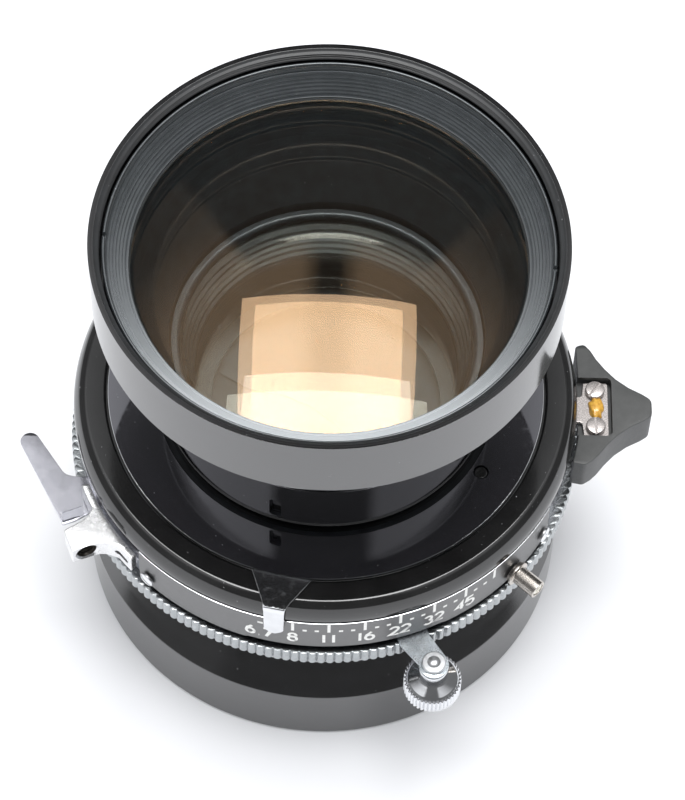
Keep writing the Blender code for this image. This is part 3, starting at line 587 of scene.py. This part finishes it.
def housing():
    """The case, with an opening in its wall for each lever, and the ring that mounts it below."""
    top, inner = high("shutter_housing"), 47.0
    step_height, step = 40.5, 48.4
    profile = [(WALL, top, 0.25), (WALL, step_height, 0.1), (step, step_height), (step, 33.6), (32.4, 33.6),
               (32.4, 27.3), (28.9, 27.3), (28.9, 35.2), (inner, 35.2), (inner, top)]
    obj = piece("housing_turned", "shutter", turned_mesh("housing_turned", profile, 180), SATIN,
                ["shutter_housing"])
    openings = [("aperture_lever_turn", LEVER_AZIMUTH, 40.3, 41.5),
                ("cocking_lever_turn", HANDLE_AZIMUTH, 48.6, 50.0),
                ("preview_lever_turn", 82.0, 45.9, 47.2),
                ("release_lever_turn", -158.0, 41.7, 43.1)]
    spare = 5.0  # degrees beyond the lever's travel at each end
    for joint_name, azimuth, bottom, top_edge in openings:
        start, end = (azimuth + limit for limit in joint_range(joint_name))
        outline = arc(50.5, start - spare, end + spare, 10) + arc(46.0, end + spare, start - spare, 10)
        combined(obj, sheet_mesh("opening", [outline], bottom, top_edge, 0.01), "DIFFERENCE")
    mounting = [(38.6, 31.4), (38.6, 28.2), (32.9, 28.2), (32.9, 31.4)]
    piece("mounting_ring_turned", "shutter", turned_mesh("mounting_ring_turned", mounting, edge=0.3),
          ANODISED, ["mounting_ring"])


def cover():
    """The domed black cover between the disc and the scale."""
    outer = radius("front_cover")
    profile = [
        (DISC + 0.45, COVER_TOP - 0.35, 0.1), (DISC + 0.75, COVER_TOP, 0.1), (48.0, COVER_TOP, 0.5),
        (49.1, COVER_TOP - 0.8, 0.5), (49.9, COVER_TOP - 2.4, 0.7), (outer, COVER_TOP - 3.6, 0.5),
        (outer, COVER_LOW + 0.1), (48.4, COVER_LOW), (47.0, 54.3), (38.0, 54.3), (38.0, 55.4),
        (DISC + 0.45, 55.4)]
    piece("cover_domed", "shutter", turned_mesh("cover_domed", profile, 256, 0.08), ENAMEL, ["front_cover"])


def speed_ring():
    node = "speed_ring"
    tip, bottom, top = radius(node), low(node), high(node)
    teeth, depth, around = 184, 0.45, 10
    outline = []
    for i in range(teeth * around):
        phase = (i % around) / around * 2.0 - 1.0
        bulge = math.sqrt(max(0.0, 1.0 - (phase / 0.86) ** 2))
        outline.append(polar(tip - depth + depth * bulge, 360.0 * i / (teeth * around)))
    mesh = sheet_mesh("speed_ring_toothed", [outline, arc(48.85, 0.0, 360.0, 128)[:-1]], bottom, top, 0.14)
    piece("speed_ring_toothed", "speed_ring", mesh, TEETH, [node])


STRIP = 50.4  # outer radius of the scale strip
STOP, FIRST_STOP = 8.0, -95.45  # degrees for one stop, and where f/8 stands
NUMBERS = ("8", "11", "16", "22", "32", "45")


def strip():
    bottom, top, inner = low("scale_strip"), high("scale_strip"), STRIP - 0.8
    start, end, steps = -134.5, -27.3, 200
    raised_from, raised_to, raised = -106.0, -61.0, 0.4

    def build(work):
        rows = []
        for i in range(steps + 1):
            azimuth = start + (end - start) * i / steps
            foot = bottom + (raised if raised_from < azimuth < raised_to else 0.0)
            corners = softened([(STRIP, top), (STRIP, foot), (inner, foot), (inner, top)], 0.12, steps=2)
            rows.append([work.verts.new((*polar(out, azimuth), up)) for out, up in corners])
        for a, b in zip(rows, rows[1:]):
            for i in range(len(a)):
                k = (i + 1) % len(a)
                work.faces.new((a[i], a[k], b[k], b[i]))
        work.faces.new(rows[0])
        work.faces.new(rows[-1])

    obj = piece("scale_strip_formed", "shutter", mesh_from("scale_strip_formed", build), SCALE,
                ["scale_strip"])
    painted(obj, CHROME, lambda at, normal: normal.z > 0.5 and at.z > top - 0.3)
    frames = {"scale_screw_left": (-131.5, 44.5, 68.0), "scale_screw_right": (-30.0, 45.0, 20.0)}
    for node, (azimuth, height, slot_angle) in frames.items():
        screw(node, "shutter", facing(STRIP + 0.3, height, azimuth), 1.6, 0.55, slot_angle, COLLAR)


def figure_strokes(figure):
    """A figure as a list of strokes in a cell of wide by tall. A stroke is a list of points."""
    wide, tall = 1.7, 3.1
    middle = wide / 2.0
    low_bowl, high_bowl = 0.9, tall - 0.78

    def bowl(at, across, up, start, end):
        return [(middle + across * math.cos(math.radians(a)), at + up * math.sin(math.radians(a)))
                for a in [start + (end - start) * i / 14 for i in range(15)]]

    strokes = {
        "1": [[(middle, 0.0), (middle, tall)]],
        "2": [bowl(tall - 0.85, 0.82, 0.85, 165, -35) + [(0.0, 0.0), (wide, 0.0)]],
        "3": [bowl(high_bowl, 0.72, 0.78, 150, -80), bowl(low_bowl, 0.82, 0.9, 80, -150)],
        "4": [[(wide * 0.72, 0.0), (wide * 0.72, tall), (0.0, 0.95), (wide, 0.95)]],
        "5": [[(wide * 0.92, tall), (0.2, tall), (0.1, 1.65)] + bowl(0.98, 0.85, 0.98, 130, -155)],
        "6": [bowl(0.95, 0.82, 0.95, 0, 360), [(0.06, 1.1), (0.25, 2.0), (middle + 0.35, tall)]],
        "7": [[(0.0, tall), (wide, tall), (0.55, 0.0)]],
        "8": [bowl(low_bowl, 0.82, 0.9, 0, 360), bowl(high_bowl, 0.70, 0.74, 0, 360)],
        ".": [[(middle - 0.05, 0.0), (middle + 0.05, 0.0)]],
    }
    return strokes[figure]


def stroke_mesh(work, points, width, place_point, depth=0.05):
    """A flat ribbon with round ends along a line of points, laid on the strip."""
    half, count = width / 2.0, len(points)
    closed = math.dist(points[0], points[-1]) < 1e-6
    left, right = [], []
    for i, point in enumerate(points):
        before = points[i - 1] if i else (points[-2] if closed else point)
        after = points[i + 1] if i + 1 < count else (points[1] if closed else point)
        along = Vector((after[0] - before[0], after[1] - before[1])).normalized()
        into = Vector((point[0] - before[0], point[1] - before[1]))
        out_of = Vector((after[0] - point[0], after[1] - point[1]))
        mitre = 1.0
        if into.length > 0 and out_of.length > 0:
            mitre = min(1.0 / max(math.cos(into.angle(out_of) / 2.0), 0.3), 2.2)
        side = Vector((-along.y, along.x)) * half * mitre
        left.append(Vector(point) + side)
        right.append(Vector(point) - side)
    if closed:
        outer, inner = left[:-1], right[:-1]
        loops = [(outer[i], outer[(i + 1) % len(outer)], inner[(i + 1) % len(outer)], inner[i])
                 for i in range(len(outer))]
    else:
        loops = [(left[i], left[i + 1], right[i + 1], right[i]) for i in range(count - 1)]
    for quad in loops:
        low_face = [work.verts.new(place_point(p[0], p[1], -0.02)) for p in quad]
        high_face = [work.verts.new(place_point(p[0], p[1], depth)) for p in quad]
        work.faces.new(high_face)
        work.faces.new(low_face[::-1])
        for i in range(4):
            k = (i + 1) % 4
            work.faces.new((low_face[i], low_face[k], high_face[k], high_face[i]))


def markings():
    """Ticks, third-stop dots and numbers, as raised white paint on the strip."""
    top = high("scale_strip")
    tick, tick_wide, dot_wide, dot_tall = 3.3, 0.6, 0.8, 0.62
    figures_foot, figure_pitch, narrow_pitch, stroke = top - 7.55, 2.35, 1.9, 0.58

    def build(work):
        def bar(azimuth, high_end, low_end, wide):
            def on_strip(across, up, out):
                return (*polar(STRIP + out, azimuth + math.degrees(across / STRIP)), up)
            stroke_mesh(work, [(0.0, high_end), (0.0, low_end)], wide, on_strip)

        def word(text, azimuth, pitch):
            for i, figure in enumerate(text):
                shift_x = (i - (len(text) - 1) / 2.0) * pitch - 0.85

                def on_strip(across, up, out, shift_x=shift_x):
                    turn = math.degrees((across + shift_x) / STRIP)
                    return (*polar(STRIP + out, azimuth + turn), figures_foot + up)
                for points in figure_strokes(figure):
                    stroke_mesh(work, points, stroke, on_strip)

        for i in range(len(NUMBERS) + 1):
            azimuth = FIRST_STOP + STOP * i
            bar(azimuth, top - 0.15, top - tick, tick_wide)
            if i < len(NUMBERS):
                word(NUMBERS[i], azimuth, narrow_pitch if "1" in NUMBERS[i] else figure_pitch)
                for third in (1, 2):
                    dot = azimuth + STOP * third / 3.0
                    bar(dot, top - 2.55, top - 2.55 - dot_tall, dot_wide)
        bar(POINTER_AZIMUTH, top - 0.15, top - tick, tick_wide)
        bar(-102.7, top - 2.0, top - 2.0 - dot_tall, 1.1)
        word("6.7", -103.0, 1.75)

    mesh = mesh_from("scale_markings", build)
    piece("scale_markings", "shutter", mesh, PAINT, ())


def sync_terminal():
    """The flash contact: a stepped tube with its insulator."""
    node = "sync_terminal"
    azimuth, height = -41.0, 44.0
    matrix = facing(STRIP + 0.3, height, azimuth)
    tube = [(1.9, 6.25, 0.15), (1.9, 1.25, 0.1), (2.05, 1.1), (2.65, 1.1), (2.65, 0.55), (2.35, 0.5),
            (2.35, 0.0), (1.35, 0.0), (1.35, 6.25, 0.15)]
    piece("sync_terminal_turned", "shutter", turned_mesh(node, tube, 72, 0.08), NICKEL, [node],
          matrix)
    plug = [(1.25, 6.1), (1.25, 0.0), (0.6, 0.0), (0.6, 6.1)]
    piece("sync_insulator_turned", "shutter", turned_mesh("plug", plug, 48, 0.12), INSULATOR,
          ["sync_insulator"], matrix)


# ---- pointer, knob and levers --------------------------------------------

def pointer():
    """The polished disc with its three sunk screws, and the index on its edge."""
    inner, under = 33.9, DISC_TOP - 1.0
    profile = [(DISC, DISC_TOP, 0.12), (DISC, under), (inner, under), (inner, DISC_TOP, 0.1)]
    disc = piece("pointer_disc_polished", "pointer", turned_mesh("pointer_disc_polished", profile, 256),
                 POLISHED, ["pointer_disc"])
    painted(disc, CHROME, lambda at, normal: math.hypot(at.x, at.y) > DISC - 0.13)
    for i in (1, 2, 3):
        node = f"disc_screw_{i}"
        spot = centre(node)
        well = turned_mesh("well", [(0.0, 3.0), (1.5, 3.0), (1.5, -0.9), (0.0, -0.9)], 40, 0.0)
        well.transform(shift(spot.x, spot.y, DISC_TOP - 0.2))
        combined(disc, well, "DIFFERENCE")
        head = shift(spot.x, spot.y, low(node))
        screw(node, "pointer", head, 1.3, 0.85, azimuth_of(node) + 60.0, ENAMEL, 0.05)
    index_tab()


def index_tab():
    """The sheet index: from the disc's edge over the cover's shoulder and down the scale."""
    thickness, chamfer, face, level = 0.32, 0.07, 51.0, 57.05
    path = [(43.45, level - 0.1, 5.9), (44.6, level, 5.3), (46.6, level, 4.25), (48.6, level, 3.2),
            (50.3, level, 2.35), (face - 0.25, level - 0.06, 2.2), (face, level - 0.35, 2.1),
            (face, level - 1.2, 2.05), (face, 52.0, 2.0), (face, 49.2, 1.95), (face, 48.6, 1.6),
            (face, 48.0, 0.9), (face, 47.6, 0.3)]

    def build(work):
        rows = []
        for i, (out, up, half) in enumerate(path):
            before, after = path[max(i - 1, 0)], path[min(i + 1, len(path) - 1)]
            along = Vector((after[0] - before[0], after[1] - before[1])).normalized()
            normal = Vector((-along.y, along.x))
            row = []
            for lift in (0.0, thickness):
                for side in (-1.0, -0.97, 0.97, 1.0) if lift else (-1.0, 1.0):
                    rise = lift - (chamfer if lift and abs(side) == 1.0 else 0.0)
                    row.append(work.verts.new((out + normal.x * rise, side * half, up + normal.y * rise)))
            rows.append(row)
        order = (0, 1, 5, 4, 3, 2)
        for a, b in zip(rows, rows[1:]):
            for i in range(len(order)):
                j, k = order[i], order[(i + 1) % len(order)]
                work.faces.new((a[j], a[k], b[k], b[j]))
        for row in (rows[0], rows[-1]):
            work.faces.new([row[i] for i in order])

    piece("index_tab_formed", "pointer", mesh_from("index_tab_formed", build), CHROME, ["index_tab"],
          spun(POINTER_AZIMUTH), sharp=40.0)


KNOB = centre("aperture_knob")


def knob():
    """The knurled knob under the arm, and the rivet that holds it."""
    here = shift(KNOB.x, KNOB.y, 0.0)
    profile = [
        (0.0, 40.25), (2.75, 40.25, 0.2), (2.9, 39.9), (2.9, 37.2, 0.2), (2.45, 36.7, 0.3),
        (3.0, 36.35, 0.3), (4.85, 35.55, 0.2), (5.15, 35.2, 0.1), (5.7, 35.0, 0.2), (5.7, 31.3, 0.3),
        (5.2, 30.85, 0.2), (0.0, 30.85)]
    ribs = 42
    mesh = turned_mesh("aperture_knob_knurled", profile, ribs * 12, 0.1, (5.1, 0.42, ribs))
    piece("aperture_knob_knurled", "aperture_lever", mesh, CHROME, ["aperture_knob"], here)
    rivet = [(0.0, 42.65), (0.75, 42.5, 0.3), (1.15, 42.25, 0.1), (1.3, 42.1, 0.05), (2.2, 42.15, 0.15),
             (2.35, 41.95, 0.1), (2.35, 41.45), (0.0, 41.45)]
    piece("knob_rivet_turned", "aperture_lever", turned_mesh("knob_rivet_turned", rivet, 72, 0.05), COLLAR,
          ["knob_rivet"], here)


def cam_ring():
    """The aperture lever: a slotted ring with the arm that carries the knob."""
    node = "iris_cam_ring"
    reach, root = 2.95, 46.0
    blades, stud_circle, pin_reach, pin_azimuth, iris_ratio = 7, 41.0, 4.0, -105.0, -0.9
    half = math.degrees(math.asin(reach / root))
    toward = math.degrees(math.atan2(KNOB.y, KNOB.x))
    outline = arc(46.4, LEVER_AZIMUTH + half, LEVER_AZIMUTH + 360.0 - half, 160)
    outline += [polar(51.5, LEVER_AZIMUTH - half)] + arc(reach, toward - 110.0, toward + 95.0, 40, KNOB)
    outline += [polar(51.6, LEVER_AZIMUTH + half * 0.9)]
    start, end = (limit + margin for limit, margin in zip(joint_range("aperture_lever_turn"), (-1.2, 1.2)))
    outlines, steps = [outline, arc(24.2, 0.0, 360.0, 128)[:-1]], 16
    for i in range(blades):
        azimuth = 12.0 + 360.0 * i / blades
        sides = ([], [])
        for k in range(steps + 1):
            turn = start + (end - start) * k / steps
            stud = Vector(polar(stud_circle, azimuth))
            pin = stud + Vector(polar(pin_reach, azimuth + pin_azimuth + iris_ratio * turn))
            pin.rotate(Matrix.Rotation(math.radians(-turn), 2))
            across = Vector(polar(0.95, azimuth))
            across.rotate(Matrix.Rotation(math.radians(-turn * 0.5), 2))
            sides[0].append(tuple(pin + across))
            sides[1].append(tuple(pin - across))
        outlines.append(sides[0] + sides[1][::-1])
    mesh = sheet_mesh("aperture_lever_stamped", outlines, low(node), high(node), 0.1)
    piece("aperture_lever_stamped", "aperture_lever", mesh, PLATED, [node])


def handle():
    """The winged cocking handle in moulded plastic, hollowed over its plate."""
    node = "cocking_handle"
    bottom, top = low(node), high(node)
    inner = arc(50.75, 3.0, -14.8, 16)
    flank = [(54.4, -11.2, 0.5), (56.1, -8.9, 0.5), (58.2, -6.6, 0.5), (60.8, -4.6, 0.5), (63.4, -3.2, 0.5),
             (65.3, -1.9, 0.9)]
    lower_end, upper_end = [(51.6, -13.5, 0.5), (53.1, -12.5, 0.5)], [(53.3, 13.2, 0.5), (52.0, 14.7, 0.7)]
    chord = [(50.15, 14.1, 0.7)] + [(*p, 0.0) for p in inner[:-1]] + [(*inner[-1], 0.6)]
    far_flank = [(x, -y, reach) for x, y, reach in flank[::-1]]
    outline = softened(chord + lower_end + flank + far_flank + upper_end, 0.3)
    mesh = sheet_mesh("cocking_handle_moulded", [outline], bottom, top, 0.35)
    obj = piece("cocking_handle_moulded", "cocking_lever", mesh, PLASTIC, [node],
                spun(HANDLE_AZIMUTH))
    pocket = softened([(47.0, -6.7), (57.3, -6.7), (57.3, 6.7), (47.0, 6.7)], 1.2, steps=5)
    hollow = sheet_mesh("pocket", [pocket], low("cocking_ring") - 0.3, top + 4.0, 0.05)
    hollow.transform(spun(HANDLE_AZIMUTH))
    combined(obj, hollow, "DIFFERENCE")


def cocking_plate():
    """The T-shaped plate under the handle, its two screws and the lacquer between them."""
    ring_edge = arc(37.2, 4.5, 355.5, 140)
    stem = [(50.9, -2.9), (51.4, -3.2), (51.7, -6.0), (52.1, -6.2), (56.2, -6.2), (56.6, -5.9), (56.6, 5.9),
            (56.2, 6.2), (52.1, 6.2), (51.7, 6.0), (51.4, 3.2), (50.9, 2.9)]
    mesh = sheet_mesh("cocking_plate", [ring_edge + stem, arc(33.2, 0.0, 360.0, 140)[:-1]],
                      low("cocking_ring"), high("cocking_ring"), 0.1)
    piece("cocking_plate_stamped", "cocking_lever", mesh, STAMPED, ["cocking_ring"],
          spun(HANDLE_AZIMUTH))
    for i, (side, slot_angle) in enumerate(((4.15, 52.0), (-4.15, 92.0))):
        node = f"handle_screw_{i + 1}"
        frame_at = spun(HANDLE_AZIMUTH) @ shift(54.0, side, low(node))
        screw(node, "cocking_lever", frame_at, 1.95, 0.8, slot_angle, STAMPED, 0.1)
    blob = [(0.0, 1.2, 0.1), (0.7, 1.15, 0.2), (1.35, 0.6, 0.3), (1.55, 0.0), (0.0, 0.0)]
    lacquer = turned_mesh("thread_lacquer", blob, 40, 0.1)
    for vert in lacquer.vertices:
        lump = 1.0 + 0.12 * math.sin(vert.co.x * 5.0 + vert.co.y * 3.0)
        vert.co.x *= lump
        vert.co.y *= 1.75 * lump
    piece("thread_lacquer", "cocking_lever", lacquer, LACQUER, (),
          spun(HANDLE_AZIMUTH) @ shift(54.1, 0.2, high("cocking_ring") + 0.02))


def bracket():
    """The cast bracket with the cable release's threaded socket, whose inside is coloured dark as painted
    shade.
    """
    node, look = "release_bracket", -66.6
    bottom, top = low(node), high(node)
    outline = softened(
        [(*p, 0.3) for p in arc(51.5, -157.8, -151.6, 6)]
        + [(-46.3, -26.9, 1.2), (-50.5, -29.7, 0.5), (-48.6, -34.4, 0.3), (-42.8, -31.9, 2.2)]
        + [(*p, 0.3) for p in arc(51.5, -140.0, -135.9, 4)]
        + [(*p, 0.3) for p in arc(49.9, -135.9, -157.8, 24)], 0.3)
    mesh = sheet_mesh("release_bracket_cast", [outline], bottom, top, 0.28)
    obj = piece("release_bracket_cast", "shutter", mesh, CAST, [node])
    front = Vector(polar(1.0, look))
    mouth, level, depth = Vector((-45.7, -33.15)), 45.5, 7.0
    frame_at = mouth - front * depth
    aim = shift(frame_at.x, frame_at.y, level) @ spun(look) @ Matrix.Rotation(math.pi / 2, 4, "Y")
    thread = [(0.0, 8.0), (2.45, 8.0, 0.0), (2.45, 7.05, 0.0), (2.0, 6.6, 0.0)]
    for turn in range(7):
        thread += [(2.0, 6.4 - 0.8 * turn, 0.0), (1.75, 6.0 - 0.8 * turn, 0.0)]
    thread += [(1.7, 0.4, 0.0), (0.0, 0.4, 0.0)]
    hole = turned_mesh("socket", thread, 48, 0.0)
    hole.transform(aim)
    combined(obj, hole, "DIFFERENCE")
    combined(obj, box_mesh("window", (1.3, 3.6, 6.0), facing(50.7, 45.6, -138.9), 0.3), "DIFFERENCE")
    inside = Vector((mouth.x, mouth.y, level))
    along = Vector((front.x, front.y, 0.0))

    def in_shaded_socket(at, normal):
        back = (inside - at).dot(along)
        return 0.25 < back < depth and (at - inside + along * back).length < 2.3

    # the faces inside the socket take the dark colour, as painted shade in the hole
    painted(obj, SOCKET_PAINTED_SHADE, in_shaded_socket)


def release_lever():
    """The sheet lever with its bent-up tab."""
    node = "release_lever"
    bottom = low(node)
    tip = [(*p, 0.0) for p in arc(1.95, 28.0, 208.0, 16, (-59.1, -6.8))]
    outline = softened(
        tip + [(-52.4, -23.3, 0.6), (-51.3, -25.6, 0.4), (-48.9, -24.6, 0.4)]
        + [(*polar(49.6, -154.0), 0.2), (*polar(49.4, -153.0), 0.1), (*polar(46.7, -153.0), 0.1)]
        + [(*p, 0.1) for p in arc(45.2, -153.0, -163.0, 6)]
        + [(*polar(46.7, -163.0), 0.1), (*polar(49.6, -163.0), 0.3), (-49.4, -14.6, 0.3),
           (-51.6, -14.2, 1.8)], 0.2)
    mesh = sheet_mesh("release_lever_stamped", [outline], bottom, bottom + 0.8, 0.12)
    obj = piece("release_lever_stamped", "release_lever", mesh, SATIN, [node])
    tab_height = high(node) - bottom - 0.1
    turn = shift(-49.4, -23.9, bottom + 0.1 + tab_height / 2.0) @ spun(23.4)
    combined(obj, box_mesh("tab", (4.3, 0.9, tab_height), turn, 0.14), "UNION")


for build_group in (front_cell, rear_cell, housing, cover, speed_ring, strip, markings, sync_terminal,
                    pointer, knob, cam_ring, handle, cocking_plate, bracket, release_lever):
    build_group()

# ---- the CAD nodes that still show ---------------------------------------

CARRIED = {
    "rear_inner_lock_ring": BAFFLE, "speed_ring_clip": STEEL, "sync_pin": BRASS, "aperture_rack": STEEL,
    "pointer_gear": BAFFLE, "reversing_pinion": BRASS, "pinion_stud": STEEL, "iris_stud_ring": STEEL,
    "rack_post": STEEL, "blade_plate": BAFFLE, "blade_ring": SATIN, "mechanism_plate": BAFFLE,
    "pointer_sleeve": BAFFLE}
for node_name, node_object in frame["nodes"].items():
    if node_object.hide_render:
        continue
    node_object.data.materials.clear()
    node_object.data.materials.append(CARRIED.get(node_name, BLADE))


# ---- floor, light and camera ---------------------------------------------

def floor():
    def build(work):
        bmesh.ops.create_grid(work, x_segments=2, y_segments=2, size=6000.0)
    mesh = mesh_from("floor", build)
    mesh.transform(Matrix.Scale(MM, 4))
    mesh.materials.append(finish("pale_floor", (0.75, 0.755, 0.77), (0.77, 0.775, 0.79), 0.0, (0.6, 0.8),
                                 scale=0.004, grain=0.5))
    obj = bpy.data.objects.new("floor", mesh)
    obj.location.z = cad_low.z
    bpy.context.scene.collection.objects.link(obj)


def softbox(name, at, size, aim, radiance):
    """A rectangular soft light of an even brightness; places and sizes in millimetres."""
    light = bpy.data.lights.new(name, "AREA")
    light.shape = "RECTANGLE"
    light.size, light.size_y = size[0] * MM, size[1] * MM
    light.energy = radiance * math.pi * light.size * light.size_y
    obj = bpy.data.objects.new(name, light)
    obj.location = [value * MM for value in at]
    obj.rotation_euler = (Vector(aim) - Vector(at)).to_track_quat("-Z", "Y").to_euler()
    bpy.context.scene.collection.objects.link(obj)


def tent():
    """White surroundings to the camera and an even fill for diffuse light.
    Reflections see screens to the left and right, with dark gaps behind the object and before it."""
    world = bpy.data.worlds.new("tent")
    world.use_nodes = True
    tree = world.node_tree
    background = tree.nodes["Background"]

    def product(a, b):
        return maths(tree, "MULTIPLY", a, b)

    def blend(factor, a, b):
        return add(tree, "ShaderNodeMix", {"data_type": "FLOAT"}, i0=factor, i2=a, i3=b).outputs[0]

    toward = add(tree, "ShaderNodeTexCoord").outputs["Generated"]
    x, y, z = add(tree, "ShaderNodeSeparateXYZ", None, Vector=toward).outputs
    slant = maths(tree, "DIVIDE", x, maths(tree, "MAXIMUM", y, 0.01))
    slit = product(spread(tree, slant, -0.54, -0.48, 0.0, 1.0), spread(tree, slant, 0.55, 0.61, 1.0, 0.0))
    gap = product(spread(tree, y, 0.0, 0.03, 0.0, 1.0), slit)
    aside = maths(tree, "ABSOLUTE", x)
    screens = product(spread(tree, z, 0.8, 0.84, 0.0, 1.0), spread(tree, aside, 0.03, 0.1, 0.0, 1.0))
    behind = spread(tree, screens, 0.0, 1.0, 0.08, 0.9)
    sideways = maths(tree, "ABSOLUTE", maths(tree, "DIVIDE", x, maths(tree, "MINIMUM", y, -0.01)))
    before = product(spread(tree, y, -0.1, -0.02, 1.0, 0.0), spread(tree, sideways, 0.6, 0.85, 1.0, 0.0))
    sides = product(spread(tree, z, 0.7, 0.84, 0.24, 0.95), spread(tree, x, -0.3, 0.3, 1.0, 0.8))
    before_strength, fill_strength, seen_strength = 0.15, 1.15, 1.0
    around = blend(before, blend(gap, sides, behind), before_strength)
    path = add(tree, "ShaderNodeLightPath").outputs
    filled = blend(path["Is Diffuse Ray"], around, fill_strength)
    tree.links.new(blend(path["Is Camera Ray"], filled, seen_strength), background.inputs["Strength"])
    background.inputs["Color"].default_value = (0.97, 0.98, 1.0, 1.0)
    bpy.context.scene.world = world


CAMERA_PLACE = (3.353, -358.571, 651.809)
CAMERA_ELEVATION, CAMERA_ROLL = 59.146, 1.941
FOCAL_LENGTH, SENSOR_WIDTH = 157.5, 36.0


def camera():
    elevation, roll = math.radians(CAMERA_ELEVATION), math.radians(CAMERA_ROLL)
    forward = Vector((0.0, math.cos(elevation), -math.sin(elevation)))
    level_up = Vector((0.0, math.sin(elevation), math.cos(elevation)))
    right = math.cos(roll) * Vector((1.0, 0.0, 0.0)) + math.sin(roll) * level_up
    up = right.cross(forward)
    data = bpy.data.cameras.new("camera")
    data.sensor_width = SENSOR_WIDTH
    data.lens = FOCAL_LENGTH
    data.clip_start = 0.01
    obj = bpy.data.objects.new("camera", data)
    turn = Matrix((right, up, -forward)).transposed()
    obj.matrix_world = Matrix.Translation(Vector(CAMERA_PLACE) * MM) @ turn.to_4x4()
    bpy.context.scene.collection.objects.link(obj)
    bpy.context.scene.camera = obj


floor()
tent()
softbox("overhead", (0.0, 120.0, 1700.0), (970.0, 1080.0), (0.0, 120.0, 0.0), 7.2)
camera()
bpy.context.scene.view_settings.view_transform = "Standard"
